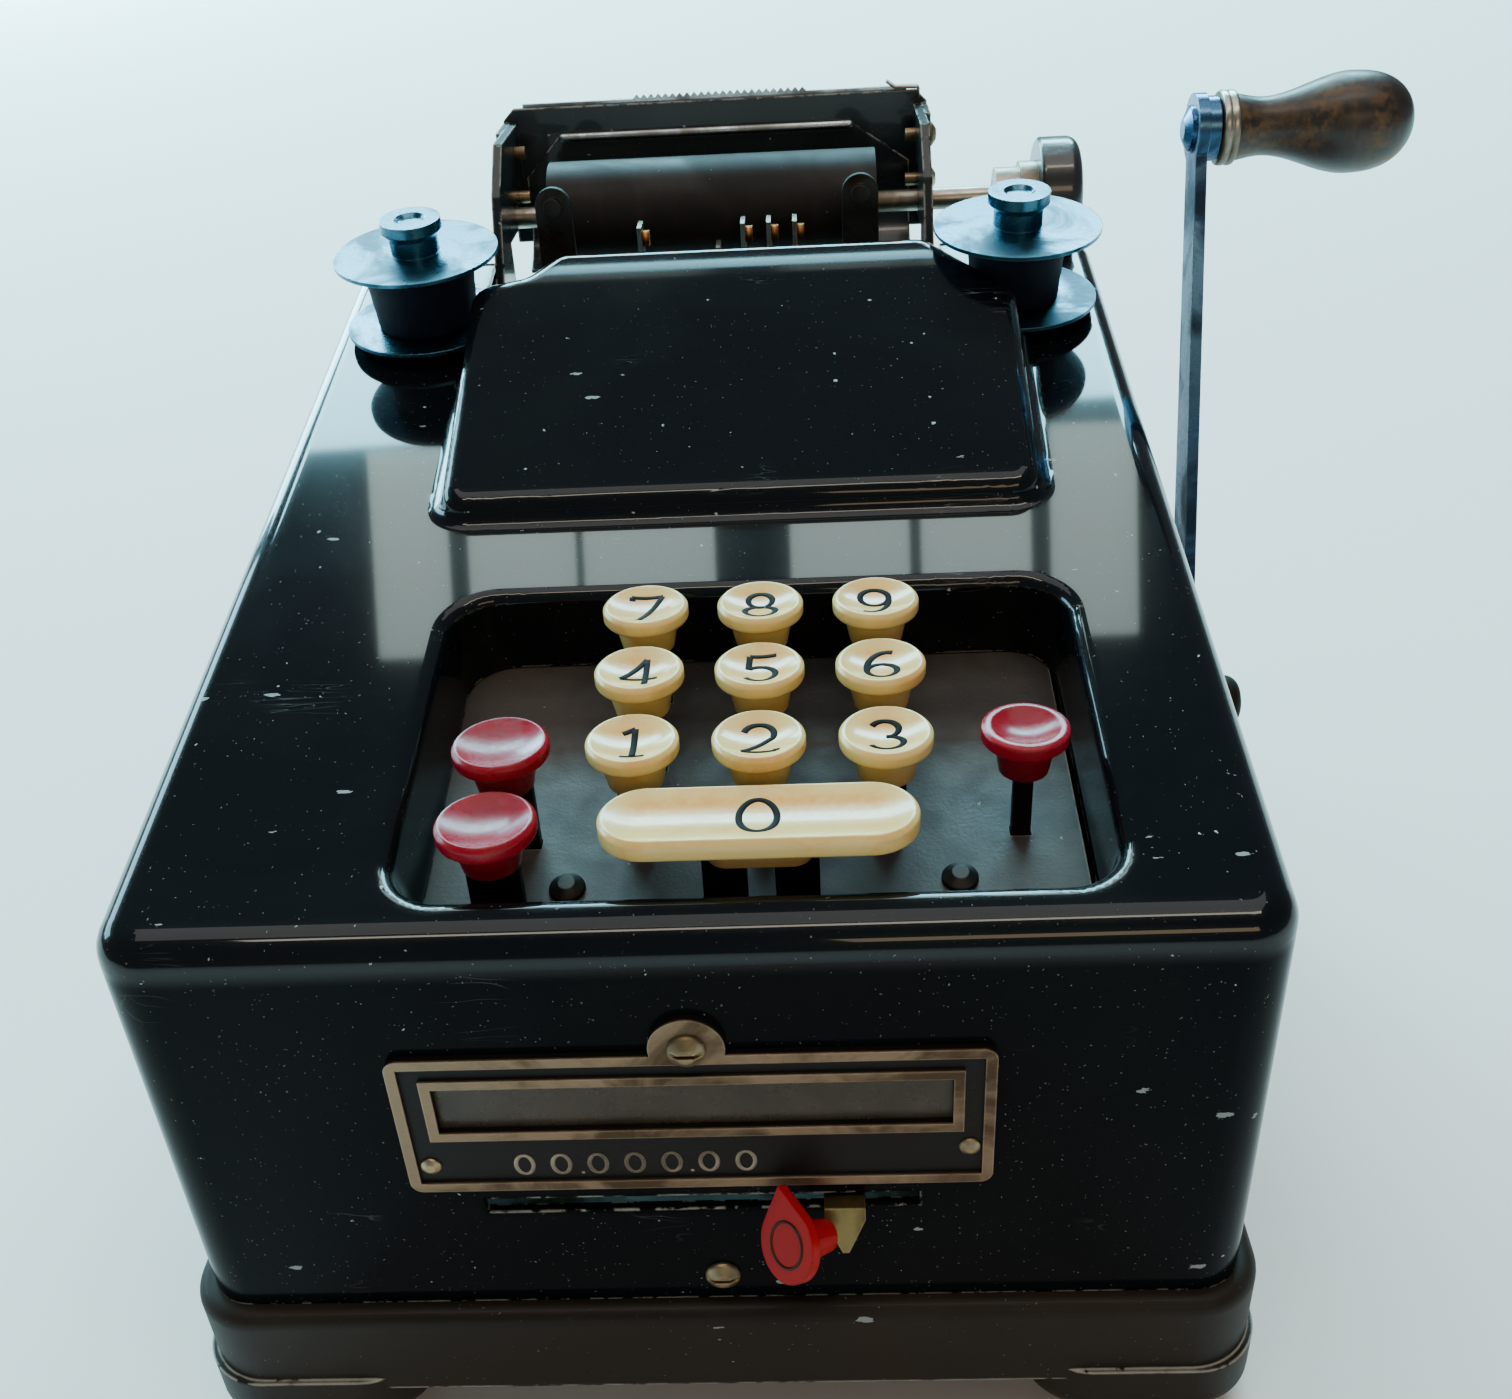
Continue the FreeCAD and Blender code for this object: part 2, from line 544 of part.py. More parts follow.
def case_form(label, inset):
    """The case as a closed block, drawn in on every side by the inset.

    The block is a wedge. The hood stands on its top with drafted sides, a rising top and cut back
    corners. The well goes down into it, with drafted walls and a rolled lip.
    """
    body = new_body(label)
    drawn = "(%s)" % inset
    bottom = "(Spec.base_height - %s)" % drawn
    roof = " - %s / cos(Spec.case_slope)" % drawn
    front, back = drawn, "(Spec.case_depth - %s)" % drawn
    side = [(front, bottom), (back, bottom), (back, case_top(back) + roof), (front, case_top(front) + roof)]
    width = "Spec.case_width - 2 * " + drawn
    pad(body, label + "_block", polygon(body, label + "_side", "YZ", side), width, "Symmetric")
    fillet(body, label + "_corners", lambda edge, middle: upright(edge), "Spec.case_corner - " + drawn)

    hood_inset = "%s * (1 / cos(Spec.hood_draft) - tan(Spec.hood_draft))" % drawn
    hood = [("%s + %s * %s" % (x, across, hood_inset), "%s + %s * %s" % (run, along, hood_inset))
            for x, run, across, along in HOOD_PLAN]
    lift = "Spec.base_height + Spec.case_front" + roof
    plan = polygon(body, label + "_hood_plan", "XY", hood, lift, "Spec.case_slope")
    pad(body, label + "_hood", plan, "Spec.hood_high + Spec.hood_spare", taper="-Spec.hood_draft")
    fillet(body, label + "_hood_corners", edge_test(hood_corner, inset), "Spec.hood_corner - " + drawn)
    ahead, behind = "(Spec.hood_front - Spec.hood_margin)", "(Spec.hood_back + Spec.hood_margin)"
    level = hood_top(behind) + " + Spec.hood_above"
    cut = [(ahead, hood_top(ahead) + roof), (behind, hood_top(behind) + roof), (behind, level), (ahead, level)]
    above = polygon(body, label + "_hood_line", "YZ", cut)
    pocket(body, label + "_hood_top", above, "Spec.case_width", "Symmetric")
    fillet(body, label + "_hood_edge", edge_test(hood_rim, inset), "Spec.hood_edge - " + drawn)
    fillet(body, label + "_hood_root", edge_test(hood_foot, inset), "Spec.hood_root + " + drawn)
    fillet(body, label + "_edge", edge_test(case_rim, inset), "Spec.case_edge - " + drawn)

    left, right = "(Spec.well_left - %s)" % drawn, "(Spec.well_right + %s)" % drawn
    near, far = "(Spec.well_front - %s)" % drawn, "(Spec.well_back + %s)" % drawn
    well = rectangle((left, right), (near, far))
    plan = polygon(body, label + "_well_plan", "XY", well, lift, "Spec.case_slope")
    depth = "Spec.well_depth - " + drawn if value(inset) else "Spec.well_depth + 1"
    pocket(body, label + "_well", plan, depth, taper="-Spec.well_draft")
    fillet(body, label + "_well_corners", edge_test(well_corner, inset), "Spec.well_corner + " + drawn)
    fillet(body, label + "_well_lip", edge_test(well_rim, inset), "Spec.well_lip - " + drawn)
    return body


def up_slope(y):
    """Distance up the case's top that lies over a given y, as an expression."""
    return "((%s) / cos(Spec.case_slope))" % y


def rectangle(x, y):
    """Corners of a rectangle between two values on each axis."""
    return [(x[0], y[0]), (x[1], y[0]), (x[1], y[1]), (x[0], y[1])]


def hood_top(y):
    """Height of the hood's top line over the table at a given y, as an expression."""
    rise = "(Spec.hood_high - Spec.hood_low) / (Spec.hood_back - Spec.hood_front)"
    over = "(Spec.hood_low + (%s - Spec.hood_front) * %s)" % (y, rise)
    return case_top(y) + " + %s / cos(Spec.case_slope)" % over


def edge_test(test, inset):
    """A test of an edge by the heights over its block's top and the places of its ends and middle."""
    drop = value(inset)

    def wanted(edge, middle):
        points = [edge.valueAt(edge.FirstParameter), edge.valueAt(edge.LastParameter), middle]
        heights = [slope_height(point) + drop for point in points]
        return test(points, heights, slope_run(middle))

    return wanted


def hood_corner(points, heights, run):
    low, high = sorted(heights[:2])
    return abs(low) < 0.01 and high > 1


def hood_rim(points, heights, run):
    return min(heights) > 1


def hood_foot(points, heights, run):
    inside = abs(points[2].x) < value("Spec.case_width / 2 - Spec.case_wall") - 1
    flat = max(abs(height) for height in heights) < 0.01
    return flat and inside and value("Spec.hood_front") - 1 < run < value("Spec.hood_back") + 1


def case_rim(points, heights, run):
    middle = points[2]
    wide = abs(middle.x) > value("Spec.case_width / 2 - Spec.case_corner")
    front = middle.y < value("Spec.case_wall") + 1
    back = middle.y > value("Spec.case_depth - Spec.case_wall") - 1
    flat = max(abs(height) for height in heights) < 0.01
    return flat and (wide or front or back)


def in_well(middle, run):
    """True for a point over or in the keyboard well or its wall."""
    wall = value("Spec.case_wall") + 1
    across = value("Spec.well_left") - wall < middle.x < value("Spec.well_right") + wall
    return across and value("Spec.well_front") - wall < run < value("Spec.well_back") + wall


def well_corner(points, heights, run):
    return in_well(points[2], run) and abs(heights[0] - heights[1]) > 2


def well_rim(points, heights, run):
    flat = max(abs(height) for height in heights) < 0.01
    return in_well(points[2], run) and flat


# Small makers of plain forms, fastened together and finished


def place(item, x="0", y="0", z="0"):
    """Puts an object where three expressions say."""
    bind(item, {"Placement.Base.x": x, "Placement.Base.y": y, "Placement.Base.z": z})
    return item


def turn(item, axis, angle):
    """Turns an object about an axis of its own, by an expression in degrees."""
    item.Placement = FreeCAD.Placement(Vector(), Rotation(axis, value(angle)))
    bind(item, {"Placement.Rotation.Angle": angle})
    return item


def box(x, y, z):
    """A block between two values on each axis."""
    item = doc.addObject("Part::Box", "block")
    sizes = {"Length": "(%s) - (%s)" % (x[1], x[0]), "Width": "(%s) - (%s)" % (y[1], y[0]),
             "Height": "(%s) - (%s)" % (z[1], z[0])}
    bind(item, sizes)
    return place(item, x[0], y[0], z[0])


def middle(centre, size):
    """Two values, half a size on each side of a centre."""
    return "(%s) - (%s) / 2" % (centre, size), "(%s) + (%s) / 2" % (centre, size)


AXES = {"X": Rotation(Vector(0, 1, 0), 90), "Y": Rotation(Vector(1, 0, 0), -90), "Z": Rotation()}


def rod(axis, start, end, across, radius):
    """A round rod along an axis from start to end, at two values across it."""
    item = doc.addObject("Part::Cylinder", "rod")
    item.Placement = FreeCAD.Placement(Vector(), AXES[axis])
    bind(item, {"Radius": radius, "Height": "(%s) - (%s)" % (end, start)})
    first, second = across
    corner = {"X": (start, first, second), "Y": (first, start, second), "Z": (first, second, start)}
    return place(item, *corner[axis])


def fused(*items):
    """One solid of several that touch."""
    item = doc.addObject("Part::MultiFuse", "fused")
    item.Shapes = list(items)
    item.Refine = True
    return item


def less(base, *tools):
    """A form with others cut out of it."""
    item = doc.addObject("Part::Cut", "cut")
    item.Base = base
    item.Tool = tools[0] if len(tools) == 1 else together(*tools)
    item.Refine = True
    return item


def together(*items):
    """Several separate solids as one object."""
    item = doc.addObject("Part::Compound", "group")
    item.Links = list(items)
    return item


def turned(name, profile, rounds=()):
    """A form turned about its own z from corners of radius and height, with some round edges."""
    body = new_body(name)
    sketch = polygon(body, name + "_profile", "XZ", profile)
    item = body.newObject("PartDesign::Revolution", name + "_turned")
    item.Profile = sketch
    item.ReferenceAxis = (sketch, ["V_Axis"])
    item.Angle = 360
    doc.recompute()
    sound(item)
    for number, (radius, height, size) in enumerate(rounds):
        fillet(body, "%s_round_%d" % (name, number), ring_edge(radius, height), size)
    return body


def ring_edge(radius, height):
    """A test for the round edge at a radius and a height."""
    return lambda edge, spot: (abs(math.hypot(spot.x, spot.y) - value(radius)) < 0.01
                               and abs(spot.z - value(height)) < 0.01)


def dome(name, radius, head, shank, length):
    """A round head with its shank, facing along its own z from its seat."""
    edge = "(%s) * Spec.dome_edge" % head
    profile = [("0", "-(%s)" % length), (shank, "-(%s)" % length), (shank, "0"), (radius, "0"),
               (radius, edge), ("(%s) * Spec.dome_crown" % radius, head), ("0", head)]
    return turned(name, profile, [(radius, edge, "(%s) * Spec.dome_round" % head)])


def slotted(name):
    """A case screw with its slot, facing along its own z."""
    screw = dome(name, "Spec.screw_radius", "Spec.screw_head", "Spec.screw_shank", "Spec.screw_length")
    slot = box(middle("0", "Spec.screw_radius * 2.5"), middle("0", "Spec.screw_slot"),
               ("Spec.screw_head * 0.5", "Spec.screw_head * 2"))
    return less(screw, slot)


FACING = {"front": Rotation(Vector(1, 0, 0), 90), "back": Rotation(Vector(1, 0, 0), -90),
          "left": Rotation(Vector(0, 1, 0), -90), "right": Rotation(Vector(0, 1, 0), 90)}


def facing(item, side, x, y, z):
    """Turns a fastener to face a side of the machine and puts it there."""
    item.Placement = FreeCAD.Placement(Vector(), FACING[side])
    return place(item, x, y, z)


FINISHED = []


def finish(item, label):
    """Names a finished sub-part and carries it from the machine's axes to the part's own frame."""
    placed = [path for path, _ in item.ExpressionEngine if "Placement" in path]
    whole = together(item) if placed else item
    whole.Label = label
    place(whole, "Spec.frame_x", "Spec.frame_y")
    FINISHED.append(whole)
    return whole


# Base casting, with its feet and its bottom plate

RIGHT = "(Spec.case_width / 2 + Spec.base_ledge)"
FRONT = "(-Spec.base_ledge)"
BACK = "(Spec.case_depth + Spec.base_ledge)"


def notched(inset, notch):
    """Corners of the base's plan drawn in, with its four corners cut square."""
    side, near, far = RIGHT + " - " + inset, FRONT + " + " + inset, BACK + " - " + inset
    side_in, near_in, far_in = RIGHT + " - " + notch, FRONT + " + " + notch, BACK + " - " + notch
    half = [(side_in, near), (side_in, near_in), (side, near_in),
            (side, far_in), (side_in, far_in), (side_in, far)]
    return half + [("-(%s)" % x, y) for x, y in reversed(half)]


def foot_squares():
    """The four corner feet in plan."""
    reach, size = "Spec.foot_swell", "(Spec.foot_size)"
    spans = [(FRONT + " - " + reach, FRONT + " + " + size), (BACK + " - " + size, BACK + " + " + reach)]
    side = (RIGHT + " - " + size, RIGHT + " + " + reach)
    other = ("-(%s)" % side[1], "-(%s)" % side[0])
    return [rectangle(x, y) for x in (side, other) for y in spans]


def foot_centres():
    """Middles of the four corner feet."""
    across = RIGHT + " - Spec.foot_size / 2"
    ends = (FRONT + " + Spec.foot_size / 2", BACK + " - Spec.foot_size / 2")
    return [(x, y) for x in (across, "-(%s)" % across) for y in ends]


def corner_feet():
    """The four feet under the base's corners, each with a cup for its rubber foot."""
    body = new_body("feet_form")
    sketch = body.newObject("Sketcher::SketchObject", "feet_plan")
    attach(sketch, body, "XY", "Spec.foot_low")
    for corners in foot_squares():
        add_polygon(sketch, corners)
    pad(body, "feet_blocks", sketch, "Spec.foot_step - Spec.foot_low")
    low = value("Spec.foot_low") + 0.01
    fillet(body, "feet_corners", lambda edge, spot: upright(edge), "Spec.foot_corner")
    fillet(body, "feet_edges", lambda edge, spot: spot.z < low, "Spec.foot_edge")
    rounds = [(x, y, "Spec.rubber_radius + Spec.fit_gap") for x, y in foot_centres()]
    cups = circles(body, "foot_cups_plan", "XY", rounds, "Spec.foot_low")
    pocket(body, "foot_cups", cups, "Spec.rubber_height - Spec.foot_low", reverse=True)
    return body


def base_casting():
    """The open base: sides with a ledge, an inner flange, a seat for the bottom plate, feet and lugs."""
    body = new_body("base_form")
    side = ("-" + RIGHT, RIGHT)
    plan = polygon(body, "base_plan", "XY", rectangle(side, (FRONT, BACK)), "Spec.base_low")
    pad(body, "base_block", plan, "Spec.base_height - Spec.base_low")
    fillet(body, "base_corners", lambda edge, spot: upright(edge), "Spec.base_corner")
    top = value("Spec.base_height") - 0.01
    fillet(body, "base_top_edge", lambda edge, spot: spot.z > top, "Spec.base_edge")
    inner = ("-(%s - Spec.base_wall)" % RIGHT, RIGHT + " - Spec.base_wall")
    deep = (FRONT + " + Spec.base_wall", BACK + " - Spec.base_wall")
    floor = "Spec.base_low + Spec.pan_thick + Spec.flange_thick"
    well = polygon(body, "base_inside_plan", "XY", rectangle(inner, deep), "Spec.base_height")
    pocket(body, "base_inside", well, "Spec.base_height - (%s)" % floor)
    hole = notched("(Spec.base_wall + Spec.flange_wide)", "(Spec.foot_size + Spec.flange_thick)")
    opening = polygon(body, "flange_plan", "XY", hole, floor)
    pocket(body, "flange_opening", opening, "Spec.flange_thick + Spec.pan_thick + 1")
    seat = notched("Spec.base_wall", "(Spec.foot_size + Spec.fit_gap)")
    recess = polygon(body, "pan_seat_plan", "XY", seat, "Spec.base_low")
    pocket(body, "pan_seat", recess, "Spec.pan_thick", reverse=True)
    feet = corner_feet()
    lugs = [case_lug(x, face, side) for x, face, side in case_screws()]
    return fused(body, feet, *lugs)


def case_screws():
    """Where the screws of the case go in: x, the case's face, and the side that they face."""
    rear = "Spec.case_depth"
    return [("Spec.front_screw_x", "0", "front"), ("Spec.rear_screw_x", rear, "back"),
            ("-Spec.rear_screw_x", rear, "back")]


def case_lug(x, face, side):
    """A lug inside the case that its screw holds."""
    gap = "(Spec.case_wall + Spec.seat_gap)"
    near, far = "(%s) + %s" % (face, gap), "(%s) + %s + Spec.lug_thick" % (face, gap)
    if side == "back":
        near, far = "(%s) - %s - Spec.lug_thick" % (face, gap), "(%s) - %s" % (face, gap)
    low = "Spec.base_low + Spec.pan_thick + Spec.flange_thick"
    block = box(middle(x, "Spec.lug_width"), (near, far), (low, "Spec.lug_height"))
    hole = rod("Y", "(%s) - 1" % near, "(%s) + 1" % far, (x, "Spec.case_screw_z"),
               "Spec.screw_shank + Spec.fit_gap")
    return less(block, hole)


finish(base_casting(), "base_casting")

feet = []
for x, y in foot_centres():
    foot = doc.addObject("Part::Cone", "rubber_foot")
    bind(foot, {"Radius1": "Spec.rubber_radius - Spec.rubber_taper", "Radius2": "Spec.rubber_radius",
                "Height": "Spec.rubber_height"})
    feet.append(place(foot, x, y))
finish(together(*feet), "rubber_feet")

pan = new_body("pan")
gap = "Spec.seat_gap"
outline = notched("(Spec.base_wall + %s)" % gap, "(Spec.foot_size + %s + Spec.fit_gap)" % gap)
pad(pan, "pan_sheet", polygon(pan, "pan_plan", "XY", outline, "Spec.base_low"), "Spec.pan_thick")
finish(pan, "bottom_plate")

# Case cover


def cut_front(body, name, x, z):
    """A rectangular hole in the front of the case."""
    hole = polygon(body, name + "_plan", "XZ", rectangle(x, z))
    pocket(body, name, hole, "Spec.case_wall * 2")


def case_holes(body):
    """Openings for the pointer, the window, the carriage, the posts, the crank and the screws."""
    cut_front(body, "pointer_slot", ("Spec.slot_left", "Spec.slot_right"),
              ("Spec.slot_low", "Spec.slot_high"))
    rim = "(Spec.window_rim + Spec.seat_gap)"
    cut_front(body, "window_hole", ("Spec.window_left - " + rim, "Spec.window_right + " + rim),
              ("Spec.window_low - " + rim, "Spec.window_high + " + rim))
    bay = rectangle(("Spec.bay_front", "Spec.case_depth + 5"),
                    ("Spec.bay_low", "Spec.base_height + Spec.case_depth"))
    sketch = polygon(body, "bay_plan", "YZ", bay, "Spec.bay_left")
    pocket(body, "bay", sketch, "Spec.bay_right - Spec.bay_left", reverse=True)
    posts = [(x, "Spec.spool_y", "Spec.post_hole") for x in ("Spec.spool_left_x", "Spec.spool_right_x")]
    sketch = circles(body, "post_holes_plan", "XY", posts,
                     "Spec.base_height + Spec.case_front + Spec.hood_back / 2")
    pocket(body, "post_holes", sketch, "Spec.hood_back / 2")
    hub = circles(body, "crank_hole_plan", "YZ", [("Spec.crank_y", "Spec.crank_z", "Spec.crank_hole")],
                  "Spec.case_width / 2")
    pocket(body, "crank_opening", hub, "Spec.case_wall * 2")
    shank = "Spec.screw_shank + Spec.fit_gap"
    rivet = "Spec.rivet_shank + Spec.fit_gap"
    front = [("Spec.front_screw_x", "Spec.case_screw_z", shank),
             ("Spec.badge_ear_x", "Spec.badge_ear_z", shank),
             ("Spec.badge_rivet_left", "Spec.badge_rivet_left_z", rivet),
             ("Spec.badge_rivet_right", "Spec.badge_rivet_right_z", rivet)]
    pocket(body, "front_holes", circles(body, "front_holes_plan", "XZ", front), "Spec.case_wall * 2")
    rear = [("Spec.rear_screw_x", "Spec.case_screw_z", shank),
            ("-Spec.rear_screw_x", "Spec.case_screw_z", shank)]
    sketch = circles(body, "rear_holes_plan", "XZ", rear, "-Spec.case_depth")
    pocket(body, "rear_holes", sketch, "Spec.case_wall * 2", reverse=True)


def flange_slot(x):
    """The slot that lets a spool's lower flange turn into the side of the hood."""
    slot = doc.addObject("Part::Cylinder", "flange_slot")
    bind(slot, {"Radius": "Spec.spool_radius + Spec.spool_clear",
                "Height": "Spec.slot_top - Spec.slot_floor"})
    turn(slot, Vector(1, 0, 0), "Spec.case_slope")
    return place(slot, x, "Spec.spool_y - Spec.slot_floor * sin(Spec.case_slope)",
                 case_top("Spec.spool_y") + " + Spec.slot_floor * cos(Spec.case_slope)")


outer = case_form("case_outside", "0")
case_holes(outer)
shell = less(outer, case_form("case_inside", "Spec.case_wall"))
finish(less(shell, flange_slot("Spec.spool_left_x"), flange_slot("Spec.spool_right_x")), "case_cover")

# Side frames, rods and bushes

RODS = [("Spec.rail_y", "Spec.rail_z"), ("Spec.middle_rod_y", "Spec.middle_rod_z"),
        ("Spec.wheel_rod_y", "Spec.wheel_rod_z"), ("Spec.back_rod_y", "Spec.back_rod_z")]


def under_slope(y, drop):
    """Height over the table of a plane under the case's top, at a given y."""
    return case_top(y) + " - (%s) / cos(Spec.case_slope)" % drop


def frame(name, near, away):
    """A side frame between two values of x, with its holes."""
    plate_low = "Spec.plate_drop + Spec.plate_thick"
    low = "Spec.base_low + Spec.pan_thick + Spec.flange_thick"
    start, step, back = "Spec.frame_front", "Spec.frame_step", "Spec.frame_back"
    shelf = "(Spec.bracket_front - 2)"
    outline = [(start, low), (back, low), (back, "Spec.bracket_z"), (shelf, "Spec.bracket_z"),
               (shelf, under_slope(shelf, "Spec.frame_sunk")), (step, under_slope(step, "Spec.frame_sunk")),
               (step, under_slope(step, plate_low)), (start, under_slope(start, plate_low))]
    body = new_body(name)
    pad(body, name + "_sheet", polygon(body, name + "_side", "YZ", outline, near), "Spec.frame_thick")
    holes = [(y, z, "Spec.rod_radius + Spec.fit_gap") for y, z in RODS]
    holes.append(("Spec.crank_y", "Spec.crank_z", "Spec.bush_radius + Spec.fit_gap"))
    relief = "Spec.relief_radius"
    for y, z in (("40", "50"), ("70", "50"), ("160", "50"), ("120", "105")):
        spot = ("Spec.frame_back * %s / 194" % y, "Spec.bracket_z * %s / 120" % z)
        holes.append(spot + (relief,))
    sketch = circles(body, name + "_holes_plan", "YZ", holes, away)
    pocket(body, name + "_holes", sketch, "Spec.frame_thick * 2")
    return body


LEFT_IN = "(Spec.frame_left_x + Spec.frame_thick)"
RIGHT_IN = "(Spec.frame_right_x - Spec.frame_thick)"
finish(frame("left_sheet", "Spec.frame_left_x", LEFT_IN), "frame_left")
finish(frame("right_sheet", RIGHT_IN, "Spec.frame_right_x"), "frame_right")
rods = [rod("X", "Spec.frame_left_x", "Spec.frame_right_x", spot, "Spec.rod_radius") for spot in RODS]
finish(together(*rods), "tie_rods")


def bush(start, flange_start):
    """A flanged bush in a frame, with its bore."""
    axis = ("Spec.crank_y", "Spec.crank_z")
    body = rod("X", start, "(%s) + Spec.bush_length" % start, axis, "Spec.bush_radius")
    rim = rod("X", flange_start, "(%s) + Spec.bush_flange_thick" % flange_start, axis, "Spec.bush_flange")
    bore = rod("X", "(%s) - 1" % start, "(%s) + Spec.bush_length + 1" % start, axis,
               "Spec.crank_radius + Spec.fit_gap")
    return less(fused(body, rim), bore)


left_bush = bush("Spec.frame_left_x - 1", LEFT_IN)
right_bush = bush("Spec.frame_right_x + 1 - Spec.bush_length", RIGHT_IN + " - Spec.bush_flange_thick")
finish(together(left_bush, right_bush), "crank_bushes")

# Keyboard plate, key guide and keys

DIGITS = ["zero", "one", "two", "three", "four", "five", "six", "seven", "eight", "nine"]
ROWS = ["low", "middle", "high"]
KEYS = {}
for number in range(1, 10):
    row, column = ROWS[(number - 1) // 3], (number - 1) % 3 - 1
    across = "(Spec.key_x + (%d) * Spec.key_pitch)" % column
    KEYS["key_" + DIGITS[number]] = (across, "Spec.row_" + row, "Spec.crest_" + row, "Spec.stem_width")
KEYS["key_red_back"] = ("Spec.left_key_x", "Spec.row_low", "Spec.crest_low", "Spec.red_stem_width")
KEYS["key_red_front"] = ("Spec.left_key_x", "Spec.row_zero", "Spec.crest_zero", "Spec.red_stem_width")
KEYS["key_red_right"] = ("Spec.right_key_x", "Spec.row_low", "Spec.crest_low", "Spec.end_stem_width")
BAR_STEMS = ["(Spec.key_x - Spec.bar_stem_x)", "(Spec.key_x + Spec.bar_stem_x)"]
STEMS = [(x, y, width) for x, y, crest, width in KEYS.values()]
STEMS += [(x, "Spec.row_zero", "Spec.bar_stem_width") for x in BAR_STEMS]


def stem_slots(body, name, drop, thickness):
    """Slots for all the stems in a plate that lies parallel to the case's top."""
    sketch = body.newObject("Sketcher::SketchObject", name + "_plan")
    lift = "Spec.base_height + Spec.case_front - (%s) / cos(Spec.case_slope)" % drop
    attach(sketch, body, "XY", lift, "Spec.case_slope")
    for x, y, width in STEMS:
        deep = "Spec.stem_thick + Spec.plate_thick * tan(Spec.case_slope) + 2 * Spec.stem_gap"
        across = "(%s) + 2 * Spec.stem_gap" % width
        run = up_slope("(%s) - Spec.plate_thick * sin(Spec.case_slope) / 2" % y)
        add_polygon(sketch, rectangle(middle(x, across), middle(run, deep)))
    pocket(body, name, sketch, thickness)


def sloped_sheet(name, drop, x, runs):
    """A sheet parallel to the case's top, with its upper face at a depth under it."""
    body = new_body(name)
    lift = "Spec.base_height + Spec.case_front - (%s) / cos(Spec.case_slope)" % drop
    plan = polygon(body, name + "_plan", "XY", rectangle(x, runs), lift, "Spec.case_slope")
    pad(body, name + "_sheet", plan, "Spec.plate_thick", reverse=True)
    return body


plate = sloped_sheet("plate", "Spec.plate_drop", ("Spec.frame_left_x", "Spec.frame_right_x"),
                     ("Spec.plate_front", "Spec.plate_back"))
stem_slots(plate, "plate_slots", "Spec.plate_drop", "Spec.plate_thick * 2")
lift = "Spec.base_height + Spec.case_front - Spec.plate_drop / cos(Spec.case_slope)"
spots = [("Spec.plate_screw_left", "Spec.plate_screw_run", "Spec.screw_shank + Spec.fit_gap"),
         ("Spec.plate_screw_right", "Spec.plate_screw_run", "Spec.screw_shank + Spec.fit_gap")]
pocket(plate, "plate_screw_holes", circles(plate, "plate_screw_spots", "XY", spots, lift, "Spec.case_slope"),
       "Spec.plate_thick * 2")
finish(plate, "keyboard_plate")

screws = []
for x in ("Spec.plate_screw_left", "Spec.plate_screw_right"):
    screw = dome("plate_screw", "Spec.screw_radius", "Spec.screw_head", "Spec.screw_shank",
                 "Spec.screw_length")
    turn(screw, Vector(1, 0, 0), "Spec.case_slope")
    run = "Spec.plate_screw_run"
    screws.append(place(screw, x, run + " * cos(Spec.case_slope)",
                        lift + " + %s * sin(Spec.case_slope)" % run))
finish(together(*screws), "keyboard_plate_screws")

guide = sloped_sheet("guide", "Spec.guide_drop", (LEFT_IN, RIGHT_IN),
                     (up_slope("Spec.guide_front"), up_slope("Spec.guide_back")))
stem_slots(guide, "guide_slots", "Spec.guide_drop", "Spec.plate_thick * 2")
finish(guide, "key_guide")


def dished(cap, radius, depth, crest):
    """Takes a round hollow out of the top of a cap."""
    ball = doc.addObject("Part::Sphere", "dish")
    size = "((%s) ^ 2 + (%s) ^ 2) / (2 * (%s))" % (radius, depth, depth)
    bind(ball, {"Radius": size})
    place(ball, "0", "0", "%s - (%s) + (%s)" % (size, depth, crest))
    return less(cap, ball)


def round_cap(name, radius):
    """A round key with an upright side, an undercut and a narrow foot; its top is at zero."""
    profile = [("0", "-Spec.cap_height"), ("Spec.cap_foot", "-Spec.cap_height"),
               ("Spec.cap_neck", "-Spec.cap_under"), (radius, "-Spec.cap_side"),
               (radius, "-Spec.cap_rim"), (radius + " - Spec.cap_rim", "0"), ("0", "0")]
    cap = turned(name + "_form", profile)
    return dished(cap, radius + " - Spec.cap_rim", "Spec.cap_dish", "0")


def end_cap(name):
    """The red key on the right: a dished button with a side band over a tapering skirt."""
    edge = "Spec.end_radius"
    profile = [("0", "-Spec.cap_height"), ("Spec.end_foot", "-Spec.cap_height"),
               ("Spec.end_neck", "-Spec.end_side"), (edge, "-Spec.end_side"),
               (edge, "-Spec.cap_rim / 2"), (edge + " - Spec.cap_rim", "0"), ("0", "0")]
    cap = turned(name + "_form", profile)
    return dished(cap, edge + " - 2 * Spec.cap_rim", "Spec.cap_dish", "0")


